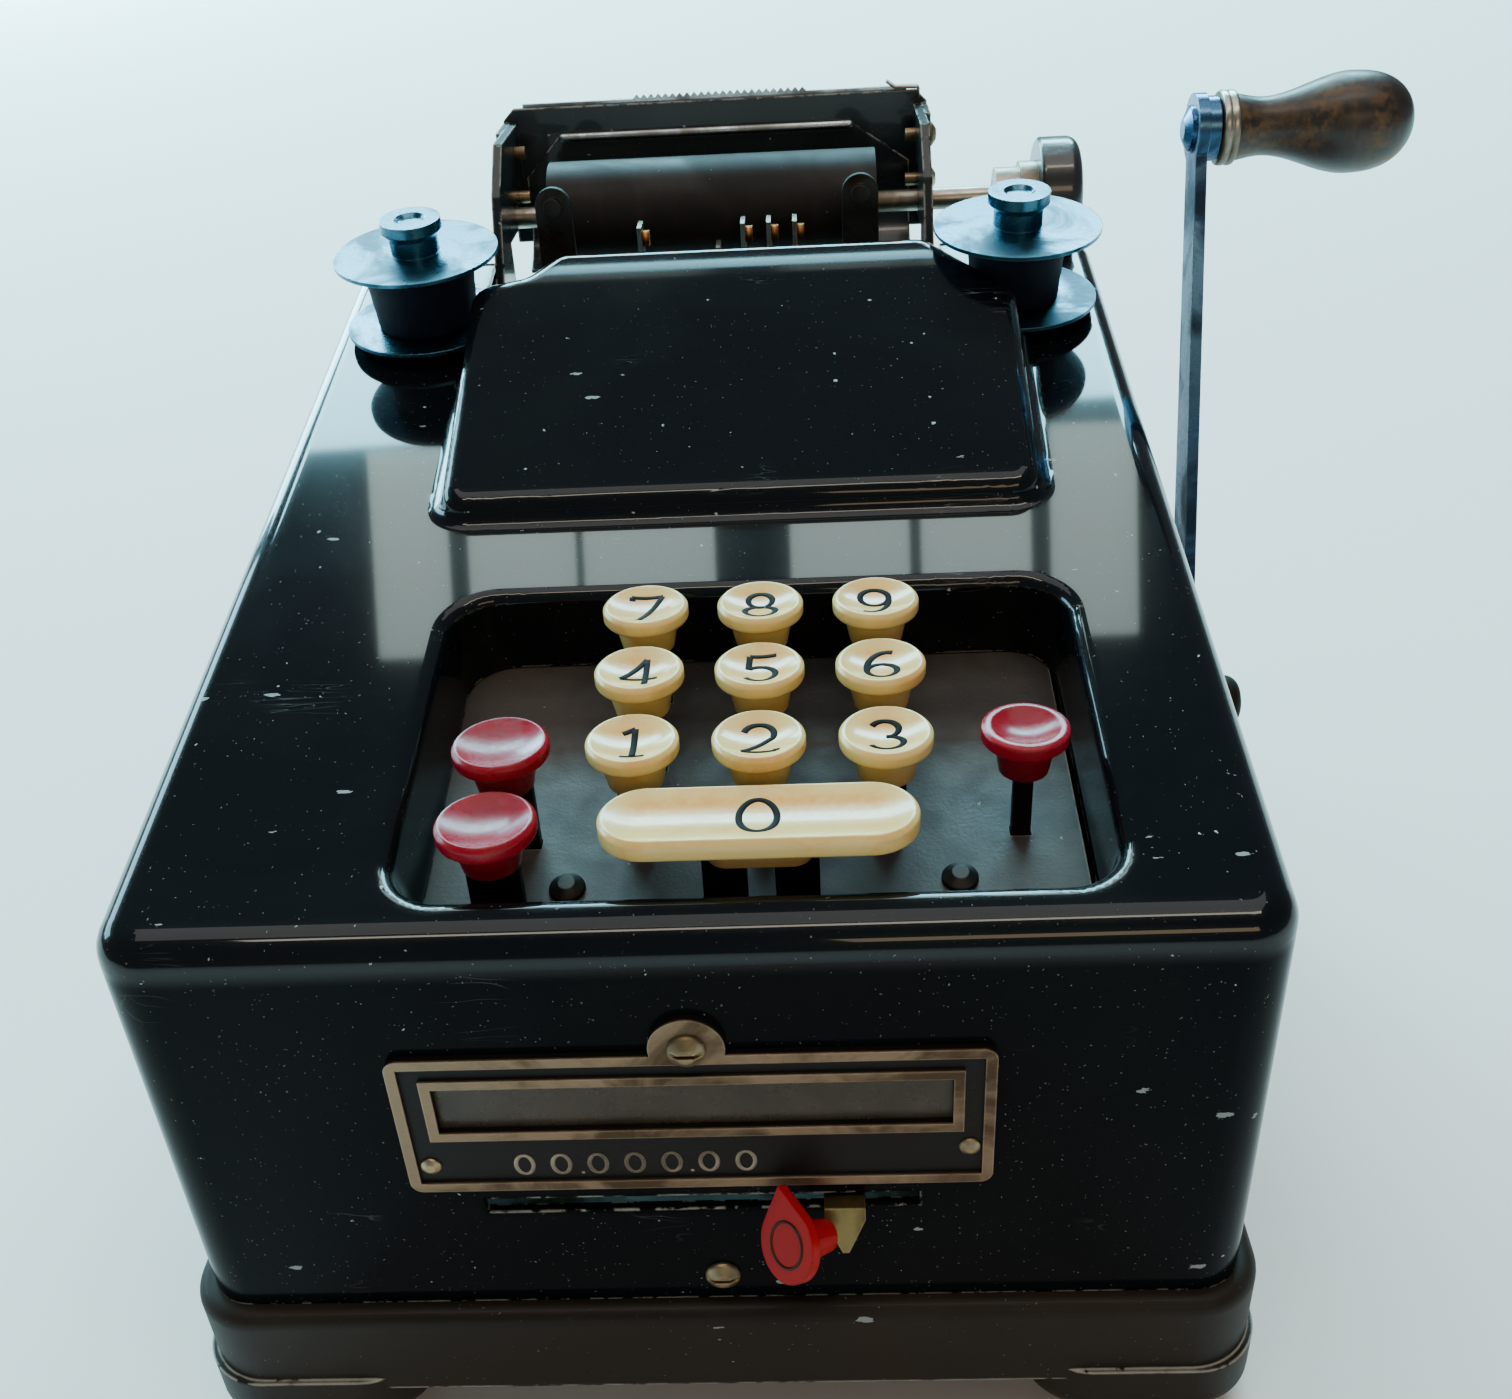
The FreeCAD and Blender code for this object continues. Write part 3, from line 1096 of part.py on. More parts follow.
def zero_bar():
    """The zero key: a long bar with round ends and a hollow top, on a tapering block."""
    body = new_body("zero_form")
    half_long, half_wide = middle("0", "Spec.bar_length"), middle("0", "Spec.bar_width")
    plan = polygon(body, "zero_plan", "XY", rectangle(half_long, half_wide))
    pad(body, "zero_slab", plan, "Spec.bar_rim", reverse=True)
    fillet(body, "zero_ends", lambda edge, spot: upright(edge), "Spec.bar_width / 2 - Spec.seat_gap / 10")
    fillet(body, "zero_edge", lambda edge, spot: spot.z > -0.01, "Spec.bar_edge")
    foot = polygon(body, "zero_foot_plan", "XY", rectangle(middle("0", "Spec.bar_foot_long"),
                   middle("0", "Spec.bar_foot_wide")), "-Spec.bar_rim")
    pad(body, "zero_foot", foot, "Spec.cap_height - Spec.bar_rim", reverse=True, taper="-Spec.bar_foot_taper")
    chord = "(Spec.bar_width / 2 - 2 * Spec.bar_edge)"
    size = "(%s ^ 2 + Spec.bar_dish ^ 2) / (2 * Spec.bar_dish)" % chord
    trough = rod("X", "-(Spec.bar_length)", "Spec.bar_length", ("0", size + " - Spec.bar_dish"), size)
    return less(body, trough)


def stem(x, y, crest, width):
    """A flat upright stem, from the foot of its key down through the guide."""
    low = under_slope(y, "Spec.stem_reach")
    return box(middle(x, width), middle(y, "Spec.stem_thick"), (low, "(%s) - Spec.cap_height" % crest))


for name, (x, y, crest, width) in KEYS.items():
    radius = "Spec.red_radius" if "red" in name else "Spec.cap_radius"
    cap = end_cap(name) if name == "key_red_right" else round_cap(name, radius)
    finish(place(cap, x, y, crest), name)
    finish(stem(x, y, crest, width), name.replace("key", "stem"))
finish(place(zero_bar(), "Spec.key_x", "Spec.row_zero", "Spec.crest_zero"), "key_zero")
stems = [stem(x, "Spec.row_zero", "Spec.crest_zero", "Spec.bar_stem_width") for x in BAR_STEMS]
finish(together(*stems), "stem_zero")

# Indicator plate with its glass and rivets, and the slotted screws


def indicator_plate():
    """The framed plate on the case's front, with its window, its ear and its holes."""
    body = new_body("badge_form")
    x, z = ("Spec.badge_left", "Spec.badge_right"), ("Spec.badge_low", "Spec.badge_high")
    pad(body, "badge_sheet", polygon(body, "badge_plan", "XZ", rectangle(x, z)), "Spec.badge_thick")
    fillet(body, "badge_corners", lambda edge, spot: flat_y(edge), "Spec.badge_corner")
    ear = circles(body, "badge_ear_plan", "XZ", [("Spec.badge_ear_x", "Spec.badge_ear_z", "Spec.badge_ear")])
    pad(body, "badge_ear", ear, "Spec.badge_thick")
    rim = "Spec.badge_border"
    field = rectangle(("%s + %s" % (x[0], rim), "%s - %s" % (x[1], rim)),
                      ("%s + %s" % (z[0], rim), "%s - %s" % (z[1], rim)))
    sketch = polygon(body, "badge_field_plan", "XZ", field, "Spec.badge_thick")
    pocket(body, "badge_field", sketch, "Spec.badge_sunk")
    bezel = "Spec.badge_bezel"
    raised = rectangle(("Spec.window_left - " + bezel, "Spec.window_right + " + bezel),
                       ("Spec.window_low - " + bezel, "Spec.window_high + " + bezel))
    floor = "Spec.badge_thick - Spec.badge_sunk"
    pad(body, "badge_bezel", polygon(body, "badge_bezel_plan", "XZ", raised, floor), "Spec.badge_sunk")
    window = rectangle(("Spec.window_left", "Spec.window_right"), ("Spec.window_low", "Spec.window_high"))
    sketch = polygon(body, "badge_window_plan", "XZ", window, "Spec.badge_thick")
    pocket(body, "badge_window", sketch, "Spec.badge_thick * 2")
    rivet = "Spec.rivet_shank + Spec.fit_gap"
    holes = [("Spec.badge_ear_x", "Spec.badge_ear_z", "Spec.screw_shank + Spec.fit_gap"),
             ("Spec.badge_rivet_left", "Spec.badge_rivet_left_z", rivet),
             ("Spec.badge_rivet_right", "Spec.badge_rivet_right_z", rivet)]
    sketch = circles(body, "badge_holes_plan", "XZ", holes, "Spec.badge_thick")
    pocket(body, "badge_holes", sketch, "Spec.badge_thick * 2")
    return body


def flat_y(edge):
    """True for an edge that runs straight back."""
    start, end = edge.valueAt(edge.FirstParameter), edge.valueAt(edge.LastParameter)
    return abs(start.x - end.x) < 0.01 and abs(start.z - end.z) < 0.01


finish(indicator_plate(), "indicator_plate")
rim = "Spec.window_rim"
finish(box(("Spec.window_left - " + rim, "Spec.window_right + " + rim), ("0", "Spec.glass_thick"),
           ("Spec.window_low - " + rim, "Spec.window_high + " + rim)), "indicator_window")

field_face = "-(Spec.badge_thick - Spec.badge_sunk)"
rivets = []
for side in ("left", "right"):
    length = "Spec.case_wall + Spec.badge_thick"
    rivet = dome("rivet", "Spec.rivet_radius", "Spec.rivet_head", "Spec.rivet_shank", length)
    spot = "Spec.badge_rivet_%s" % side
    rivets.append(facing(rivet, "front", spot, field_face, spot + "_z"))
finish(together(*rivets), "plate_rivets")

screws = [facing(slotted("case_screw"), side, x, face, "Spec.case_screw_z")
          for x, face, side in case_screws()]
screws.append(facing(slotted("ear_screw"), "front", "Spec.badge_ear_x", "-Spec.badge_thick",
                     "Spec.badge_ear_z"))
for side, face in (("left", "Spec.bracket_left"), ("right", "Spec.bracket_right")):
    for level in ("low", "high"):
        sheet = "- Spec.table_thick" if side == "left" else "+ Spec.table_thick"
        height = "Spec.table_screw_" + level
        screws.append(facing(slotted("table_screw"), side, face + sheet, "Spec.table_screw_y", height))
finish(together(*screws), "slotted_screws")

# Column pointer


def column_tab():
    """The pointer's brass tab: a block on the front rod and a blade that leaves the slot and turns down."""
    half = "Spec.slider_size"
    block = box(middle("(Spec.tab_left + Spec.tab_right) / 2", half), middle("Spec.rail_y", half),
                middle("Spec.rail_z", half))
    body = new_body("tab_blade")
    level, thick = "Spec.rail_z", "Spec.tab_thick"
    inner = "(Spec.rail_y - Spec.rod_radius - 1)"
    outline = [(inner, level), ("Spec.tab_bend_y + " + thick, level),
               ("Spec.tab_tip_y + " + thick, "Spec.tab_tip_z"),
               ("Spec.tab_tip_y", "Spec.tab_tip_z"), ("Spec.tab_bend_y", level + " + " + thick),
               (inner, level + " + " + thick)]
    sketch = polygon(body, "tab_side", "YZ", outline, "Spec.tab_left")
    pad(body, "tab_sheet", sketch, "Spec.tab_right - Spec.tab_left")
    centre = "((Spec.tab_left + Spec.tab_right) / 2)"
    for side, edge in (("left", "Spec.tab_left"), ("right", "Spec.tab_right")):
        corner = [(edge, "Spec.rail_z - 1"), (edge, "Spec.tab_tip_z - 1"), (centre, "Spec.tab_tip_z - 1")]
        sketch = polygon(body, "tab_taper_" + side, "XZ", corner)
        pocket(body, "tab_cut_" + side, sketch, "Spec.slider_size * 2", "Symmetric")
    bore = rod("X", "Spec.tab_left - Spec.slider_size", "Spec.tab_right + Spec.slider_size",
               ("Spec.rail_y", "Spec.rail_z"), "Spec.rod_radius + Spec.fit_gap")
    return less(fused(block, body), bore)


def column_pointer():
    """The drop-shaped knob of the pointer, its face up and its neck below."""
    face = rod("Z", "0", "Spec.pointer_rim", ("0", "0"), "Spec.pointer_radius")
    body = new_body("pointer_point")
    share = "(Spec.pointer_radius / Spec.pointer_point)"
    across = "Spec.pointer_radius * sqrt(1 - %s ^ 2)" % share
    along = "Spec.pointer_radius * %s" % share
    outline = [("0", "Spec.pointer_point"), ("-(%s)" % across, along), ("0", "0"), (across, along)]
    pad(body, "pointer_tip", polygon(body, "pointer_plan", "XY", outline), "Spec.pointer_rim")
    neck = doc.addObject("Part::Cone", "pointer_neck")
    bind(neck, {"Radius1": "Spec.pointer_tail", "Radius2": "Spec.pointer_neck",
                "Height": "Spec.pointer_reach"})
    place(neck, "0", "0", "-Spec.pointer_reach")
    whole = fused(face, body, neck)
    normal, point = Vector(-0.72, -0.55, 0.43), Vector(-0.125, 0.71, 0.69)
    whole.Placement = FreeCAD.Placement(Vector(), Rotation(point.cross(normal), point, normal, "ZXY"))
    return place(whole, "Spec.pointer_x", "Spec.pointer_y", "Spec.pointer_z")


finish(column_tab(), "column_tab")
finish(column_pointer(), "column_knob")

# Crank

CRANK = ("Spec.crank_y", "Spec.crank_z")
finish(rod("X", "Spec.crank_left", "Spec.crank_right", CRANK, "Spec.crank_radius"), "crank_shaft")


def along_x(item, x, y, z):
    """Lays a turned form along x, its own z to the right."""
    item.Placement = FreeCAD.Placement(Vector(), AXES["X"])
    return place(item, x, y, z)


hub_long = "(Spec.hub_right - Spec.hub_left)"
hub_profile = [("Spec.crank_radius + Spec.fit_gap", "0"), ("Spec.hub_radius", "0"),
               ("Spec.hub_radius", hub_long),
               ("0", hub_long), ("0", "Spec.crank_right - Spec.hub_left + Spec.fit_gap"),
               ("Spec.crank_radius + Spec.fit_gap", "Spec.crank_right - Spec.hub_left + Spec.fit_gap")]
hub = turned("hub_form", hub_profile, [("Spec.hub_radius", hub_long, "Spec.hub_dome")])
finish(along_x(hub, "Spec.hub_left", *CRANK), "crank_hub")


def crank_arm():
    """The arm: a tapering bar with round ends, its eye round the hub and the grip's pin riveted in."""
    body = new_body("arm_form")
    low, high = "Spec.arm_low", "Spec.arm_high"
    outline = [("-" + low, "0"), (low, "0"), (high, "Spec.arm_length"), ("-" + high, "Spec.arm_length")]
    pad(body, "arm_bar", polygon(body, "arm_side", "YZ", outline), "Spec.arm_thick")
    eye = rod("X", "0", "Spec.arm_thick", ("0", "0"), "Spec.arm_foot")
    head = rod("X", "0", "Spec.arm_thick", ("0", "Spec.arm_length"), "Spec.arm_head")
    axis = ("0", "Spec.arm_length")
    pin = rod("X", "0", "Spec.arm_thick + Spec.grip_start + Spec.grip_bore - 1", axis, "Spec.pin_radius")
    collar = rod("X", "Spec.arm_thick / 2", "Spec.arm_thick + Spec.grip_start - Spec.grip_gap", axis,
                 "Spec.pin_collar")
    cap = dome("pin_head", "Spec.pin_head", "Spec.pin_dome", "Spec.pin_radius", "Spec.arm_thick / 2")
    cap.Placement = FreeCAD.Placement(Vector(), FACING["left"])
    place(cap, "0", "0", "Spec.arm_length")
    bore = rod("X", "-5", "Spec.arm_thick + 5", ("0", "0"), "Spec.hub_radius + Spec.fit_gap")
    arm = less(fused(body, eye, head, pin, collar, cap), bore)
    turn(arm, Vector(1, 0, 0), "-Spec.arm_lean")
    return place(arm, "Spec.arm_x", *CRANK)


finish(crank_arm(), "crank_arm")


def grip():
    """The turned grip with its ferrule, narrow at its neck, thick towards its end and bored for its pin."""
    bore = "Spec.pin_radius + Spec.fit_gap"
    neck, bulge = ("Spec.grip_neck", "Spec.grip_neck_at"), ("Spec.grip_bulge", "Spec.grip_bulge_at")
    shoulder = ("Spec.grip_shoulder", "Spec.grip_shoulder_at")
    profile = [(bore, "Spec.grip_bore"), (bore, "0"), ("Spec.grip_collar", "0"),
               ("Spec.grip_collar", "Spec.grip_ferrule"), neck, bulge, shoulder,
               ("Spec.grip_end", "Spec.grip_length"), ("0", "Spec.grip_length"), ("0", "Spec.grip_bore")]
    rounds = [neck + ("Spec.grip_neck_round",), bulge + ("Spec.grip_bulge_round",),
              shoulder + ("Spec.grip_shoulder_round",)]
    return turned("grip_form", profile, rounds)


lean = "Spec.arm_lean"
grip_place = ("Spec.arm_x + Spec.arm_thick + Spec.grip_start",
              "Spec.crank_y + Spec.arm_length * sin(%s)" % lean,
              "Spec.crank_z + Spec.arm_length * cos(%s)" % lean)
finish(along_x(grip(), *grip_place), "crank_grip")

# Ribbon spools and their posts


def spool(side):
    """A ribbon spool: two thin flanges on a wound core, with a waisted button and a bore for the post."""
    bore, flange, top = "(Spec.post_radius + Spec.fit_gap)", "Spec.spool_flange", "Spec.spool_height"
    crown, floor = "(Spec.spool_height + Spec.button_height)", "(Spec.spool_height - Spec.spool_flange)"
    profile = [(bore, "0"), ("Spec.spool_radius", "0"), ("Spec.spool_radius", flange),
               ("Spec.wound_%s_low" % side, flange), ("Spec.wound_%s_high" % side, floor),
               ("Spec.spool_radius", floor), ("Spec.spool_radius", top), ("Spec.button_waist", top),
               ("Spec.button_waist", crown + " - Spec.button_neck"),
               ("Spec.button_radius", crown + " - Spec.button_rim"), ("Spec.button_radius", crown),
               ("Spec.button_eye", crown),
               ("Spec.button_eye - Spec.button_sunk", crown + " - Spec.button_sunk"),
               ("0", crown + " - Spec.button_sunk"), ("0", crown + " - Spec.button_bore"),
               (bore, crown + " - Spec.button_bore")]
    body = turned("spool_%s_form" % side, profile)
    turn(body, Vector(1, 0, 0), "Spec.spool_lean")
    rise = "(Spec.spool_lift)"
    return place(body, "Spec.spool_%s_x" % side, "Spec.spool_y - %s * sin(Spec.spool_lean)" % rise,
                 case_top("Spec.spool_y") + " + %s * cos(Spec.spool_lean)" % rise)


POST_DEPTH = "(%s - Spec.post_block_low - 1)" % case_top("Spec.spool_y")


def post(x, side):
    """The post of a spool: a leaning pin with a collar under the spool, in a block beside the frame."""
    top = "(Spec.spool_lift + Spec.spool_height + Spec.button_height - Spec.button_bore - 1)"
    low = "-(%s)" % POST_DEPTH
    pin = rod("Z", low, top, ("0", "0"), "Spec.post_radius")
    collar = rod("Z", low, "Spec.spool_lift - Spec.seat_gap", ("0", "0"), "Spec.collar_radius")
    leaning = fused(pin, collar)
    turn(leaning, Vector(1, 0, 0), "Spec.spool_lean")
    place(leaning, x, "Spec.spool_y", case_top("Spec.spool_y"))
    wide = (side, side + " + Spec.post_block_wide")
    if "left" in side:
        wide = (side + " - Spec.post_block_wide", side)
    foot = "Spec.spool_y + %s * sin(Spec.spool_lean)" % POST_DEPTH
    block = box(wide, middle(foot, "Spec.post_block_deep"), ("Spec.post_block_low", "Spec.post_block_high"))
    return fused(leaning, block)


finish(spool("left"), "spool_left")
finish(spool("right"), "spool_right")
posts = [post("Spec.spool_left_x", "Spec.frame_left_x"), post("Spec.spool_right_x", "Spec.frame_right_x")]
finish(together(*posts), "spool_posts")

# Paper carriage

TYPE_PLACES = ["(%d) * Spec.type_pitch" % step for step in range(-3, 4)]

PLATEN = ("Spec.platen_y", "Spec.platen_z")
rubber = rod("X", "Spec.platen_left", "Spec.platen_right", PLATEN, "Spec.platen_radius")
clear = rod("X", "Spec.platen_left - 1", "Spec.platen_right + 1", PLATEN, "Spec.shaft_radius + Spec.fit_gap")
finish(less(rubber, clear), "platen_roller")
shaft = rod("X", "Spec.shaft_left", "Spec.knob_right - Spec.knob_face", PLATEN, "Spec.shaft_radius")
collar = rod("X", "Spec.shaft_collar_left", "Spec.shaft_hub_left", PLATEN, "Spec.shaft_collar")
hub = rod("X", "Spec.shaft_hub_left", "Spec.knob_left", PLATEN, "Spec.shaft_hub")
finish(fused(shaft, collar, hub), "platen_shaft")

knob_long = "(Spec.knob_right - Spec.knob_left)"
knob_floor = knob_long + " - Spec.knob_face + Spec.fit_gap"
bore = "Spec.shaft_radius + Spec.fit_gap"
knob_profile = [(bore, "0"), ("Spec.knob_radius", "0"), ("Spec.knob_radius", knob_long), ("0", knob_long),
                ("0", knob_floor), (bore, knob_floor)]
knob = turned("knob_form", knob_profile, [("Spec.knob_radius", knob_long, "Spec.knob_edge"),
                                          ("Spec.knob_radius", "0", "Spec.knob_edge / 3")])
finish(along_x(knob, "Spec.knob_left", *PLATEN), "platen_knob")


def bracket():
    """The carriage's frame: a floor on the side frames and two cheeks that reach over the case's back."""
    body = new_body("bracket_form")
    thick, low = "Spec.bracket_thick", "Spec.bracket_z"
    width = ("Spec.frame_left_x", "Spec.frame_right_x")
    floor = rectangle(width, ("Spec.bracket_front", "Spec.bracket_back"))
    pad(body, "bracket_floor", polygon(body, "bracket_floor_plan", "XY", floor, low), thick)
    front, back = "Spec.bracket_front", "Spec.bracket_back"
    outline = [(front, low), (back, low), (back, "Spec.cheek_step"), ("Spec.cheek_back", "Spec.cheek_step"),
               ("Spec.cheek_back", "Spec.cheek_top"), ("Spec.cheek_front", "Spec.cheek_top"),
               ("(Spec.cheek_front + %s) / 2" % front, "(Spec.cheek_top + Spec.platen_z) / 2"),
               (front, "Spec.platen_z - Spec.platen_radius")]
    for side, near in (("left", "Spec.bracket_left"), ("right", "Spec.bracket_right - " + thick)):
        sketch = polygon(body, "cheek_plan_" + side, "YZ", outline, near)
        pad(body, "cheek_" + side, sketch, thick)
    passage = rectangle(("%s - 1" % TYPE_PLACES[0], "%s + 1" % TYPE_PLACES[-1]),
                        ("Spec.type_front - 1", "Spec.type_front + Spec.type_deep + 1"))
    sketch = polygon(body, "type_passage_plan", "XY", passage, low + " + " + thick)
    pocket(body, "type_passage", sketch, thick + " * 2")
    holes = [("Spec.platen_y", "Spec.platen_z", "Spec.shaft_radius + Spec.fit_gap")]
    shank = "Spec.screw_shank + Spec.fit_gap"
    holes += [("Spec.table_screw_y", "Spec.table_screw_" + level, shank) for level in ("low", "high")]
    sketch = circles(body, "cheek_holes_plan", "YZ", holes)
    pocket(body, "cheek_holes", sketch, "Spec.case_width", "Symmetric")
    return body


finish(bracket(), "platen_bracket")


def paper_table():
    """The upright sheet behind the platen with cut upper corners and two side flanges."""
    body = new_body("table_form")
    thick, cut = "Spec.table_thick", "Spec.table_cut"
    left, right = "(Spec.bracket_left - %s)" % thick, "(Spec.bracket_right + %s)" % thick
    low, high = "Spec.table_low", "Spec.table_high"
    outline = [(left, low), (right, low), (right, high + " - " + cut), (right + " - " + cut, high),
               (left + " + " + cut, high), (left, high + " - " + cut)]
    sketch = polygon(body, "table_face", "XZ", outline, "-Spec.table_y")
    pad(body, "table_sheet", sketch, thick, reverse=True)
    for side, start in (("left", left), ("right", "Spec.bracket_right")):
        span = rectangle(("Spec.table_y - Spec.table_flange", "Spec.table_y"),
                         ("Spec.table_flange_low", "Spec.cheek_top"))
        pad(body, "table_flange_" + side, polygon(body, "flange_side_" + side, "YZ", span, start), thick)
    shank = "Spec.screw_shank + Spec.fit_gap"
    holes = [("Spec.table_screw_y", "Spec.table_screw_" + level, shank) for level in ("low", "high")]
    plan = circles(body, "table_holes_plan", "YZ", holes)
    pocket(body, "table_holes", plan, "Spec.case_width", "Symmetric")
    return body


finish(paper_table(), "paper_table")


def tear_blade():
    """The bright strip behind the paper table, with its teeth over the table's edge."""
    body = new_body("blade_form")
    inset = "(Spec.table_cut + 1)"
    left, right = "Spec.bracket_left + " + inset, "Spec.bracket_right - " + inset
    outline = [(left, "Spec.blade_low"), (right, "Spec.blade_low"), (right, "Spec.blade_high")]
    for tooth in reversed(range(int(value("Spec.teeth_count")))):
        root = "Spec.teeth_left + %d * Spec.tooth_pitch" % tooth
        outline.append((root + " + Spec.tooth_pitch", "Spec.blade_high"))
        outline.append((root + " + Spec.tooth_pitch / 2", "Spec.blade_high + Spec.tooth_high"))
    outline += [("Spec.teeth_left", "Spec.blade_high"), (left, "Spec.blade_high")]
    sketch = polygon(body, "blade_face", "XZ", outline, "-(Spec.table_y + Spec.table_thick)")
    pad(body, "blade_sheet", sketch, "Spec.blade_thick", reverse=True)
    return body


finish(tear_blade(), "tear_blade")


def paper_guide():
    """The sheet that leads the paper round the back of the platen and up along the paper table."""
    inner = "(Spec.platen_radius + Spec.chute_gap)"
    sheets = []
    for radius, spare in ((inner + " + Spec.chute_thick", "0"), (inner, "1")):
        sheet = doc.addObject("Part::Cylinder", "sheet")
        bind(sheet, {"Radius": radius, "Height": "Spec.chute_right - Spec.chute_left + 2 * %s" % spare})
        start = Rotation(Vector(0, 0, 1), 90 + value("Spec.chute_start"))
        if spare == "0":
            bind(sheet, {"Angle": "Spec.chute_turn"})
        sheet.Placement = FreeCAD.Placement(Vector(), AXES["X"].multiply(start))
        sheets.append(place(sheet, "Spec.chute_left - " + spare, *PLATEN))
    body = new_body("apron_form")
    outline = [("Spec.chute_left", "Spec.platen_z"), ("Spec.chute_right", "Spec.platen_z"),
               ("Spec.chute_right", "Spec.apron_bend"), ("Spec.apron_right", "Spec.apron_top"),
               ("Spec.apron_left", "Spec.apron_top"), ("Spec.chute_left", "Spec.apron_bend")]
    sketch = polygon(body, "apron_face", "XZ", outline, "-(Spec.platen_y + %s)" % inner)
    pad(body, "apron_sheet", sketch, "Spec.chute_thick", reverse=True)
    return fused(less(*sheets), body)


finish(paper_guide(), "paper_guide")


def type_guide():
    """The slotted guide of the type bars between the cheeks, with two fingers that carry the ribbon."""
    body = new_body("comb_form")
    left, right = "Spec.bracket_left + Spec.bracket_thick", "Spec.bracket_right - Spec.bracket_thick"
    plan = rectangle((left, right), ("Spec.comb_front", "Spec.comb_back"))
    pad(body, "comb_sheet", polygon(body, "comb_plan", "XY", plan, "Spec.comb_z"), "Spec.comb_thick")
    sketch = body.newObject("Sketcher::SketchObject", "comb_slots_plan")
    attach(sketch, body, "XY", "Spec.comb_z + Spec.comb_thick")
    deep = ("Spec.type_front - Spec.type_gap", "Spec.type_front + Spec.type_deep + Spec.type_gap")
    for x in TYPE_PLACES:
        add_polygon(sketch, rectangle(middle(x, "Spec.type_thick + 2 * Spec.type_gap"), deep))
    pocket(body, "comb_slots", sketch, "Spec.comb_thick * 2")
    for side in ("left", "right"):
        x = "Spec.finger_" + side
        face = rectangle(middle(x, "Spec.finger_wide"), ("Spec.comb_z", "Spec.finger_top"))
        sketch = polygon(body, "finger_face_" + side, "XZ", face, "-Spec.finger_y")
        pad(body, "finger_" + side, sketch, "Spec.finger_thick", reverse=True)
        tip = circles(body, "finger_tip_plan_" + side, "XZ", [(x, "Spec.finger_top", "Spec.finger_wide / 2")],
                      "-Spec.finger_y")
        pad(body, "finger_tip_" + side, tip, "Spec.finger_thick", reverse=True)
        spot = [(x, "Spec.finger_top", "Spec.disc_radius")]
        stud = circles(body, "stud_plan_" + side, "XZ", spot, "-Spec.finger_y")
        pad(body, "stud_" + side, stud, "Spec.disc_length")
    return body


finish(type_guide(), "type_guide")

TYPE_DROPS = ["0", "Spec.type_sunk", "Spec.type_sunk", "Spec.type_down", "0", "0", "0"]
bars = [box(middle(x, "Spec.type_thick"), ("Spec.type_front", "Spec.type_front + Spec.type_deep"),
            ("Spec.type_low", "Spec.type_high - " + drop)) for x, drop in zip(TYPE_PLACES, TYPE_DROPS)]
finish(together(*bars), "type_bars")


def adding_wheel(x):
    """A ten-toothed adding wheel on its rod."""
    body = new_body("wheel")
    outline = []
    for tooth in range(10):
        for turn_by, radius in ((-12, "Spec.wheel_root"), (-6, "Spec.wheel_radius"), (6, "Spec.wheel_radius"),
                                (12, "Spec.wheel_root")):
            angle = 36 * tooth + turn_by
            outline.append(("%s * cos(%d)" % (radius, angle), "%s * sin(%d)" % (radius, angle)))
    pad(body, "wheel_sheet", polygon(body, "wheel_side", "YZ", outline), "Spec.wheel_thick", "Symmetric")
    bore = circles(body, "wheel_bore_plan", "YZ", [("0", "0", "Spec.rod_radius + Spec.fit_gap")])
    pocket(body, "wheel_bore", bore, "Spec.wheel_thick * 2", "Symmetric")
    return place(body, x, "Spec.wheel_rod_y", "Spec.wheel_rod_z")


wheels = [adding_wheel("(%s) * Spec.wheel_pitch" % (place_in - 3.5)) for place_in in range(8)]
finish(together(*wheels), "accumulator_wheels")

doc.recompute()
for item in doc.Objects:
    if "Invalid" in item.State or "Error" in item.State:
        raise RuntimeError(item.Label + " failed")
for item in FINISHED:
    if item.Shape.isNull() or not item.Shape.isValid():
        raise RuntimeError(item.Label + " has no sound shape")

os.makedirs("parts", exist_ok=True)
for item in FINISHED:
    item.Shape.exportStep("parts/%s.step" % item.Label)
    print(item.Label, len(item.Shape.Solids), "solids,", round(item.Shape.Volume), "cubic millimetres")
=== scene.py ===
"""Looks of a ten-key printing adding machine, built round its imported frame.

The machine has a black enamelled case on a cast base, a sunk keyboard, a column pointer on its
front, two ribbon spools, a paper carriage behind and a hand crank on its right.
Lengths are in millimetres in the sub-assemblies, and in metres in the meshes and the finishes.
"""

import json
import logging
import math
from collections.abc import Callable
from dataclasses import dataclass
from enum import Enum

import bmesh
import bpy
import numpy as np
from mathutils import Matrix, Vector

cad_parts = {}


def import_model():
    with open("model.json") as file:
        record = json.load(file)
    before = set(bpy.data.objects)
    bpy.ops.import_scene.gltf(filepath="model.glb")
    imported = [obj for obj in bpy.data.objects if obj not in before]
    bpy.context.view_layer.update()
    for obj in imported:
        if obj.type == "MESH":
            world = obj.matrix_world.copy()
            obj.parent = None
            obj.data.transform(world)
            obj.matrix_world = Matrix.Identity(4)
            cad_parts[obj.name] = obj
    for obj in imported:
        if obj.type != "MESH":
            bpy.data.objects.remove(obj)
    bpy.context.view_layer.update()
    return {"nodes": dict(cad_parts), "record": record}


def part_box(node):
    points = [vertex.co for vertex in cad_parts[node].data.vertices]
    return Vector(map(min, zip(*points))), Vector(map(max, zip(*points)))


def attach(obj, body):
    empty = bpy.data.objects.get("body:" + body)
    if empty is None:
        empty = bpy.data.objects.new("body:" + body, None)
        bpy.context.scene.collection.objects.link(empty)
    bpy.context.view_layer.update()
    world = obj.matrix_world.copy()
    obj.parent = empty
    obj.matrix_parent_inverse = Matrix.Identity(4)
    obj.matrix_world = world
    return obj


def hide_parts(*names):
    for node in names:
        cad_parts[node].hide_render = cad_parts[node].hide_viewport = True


LOG = logging.getLogger("adding_machine")
MM = 0.001
TURN = 2 * math.pi
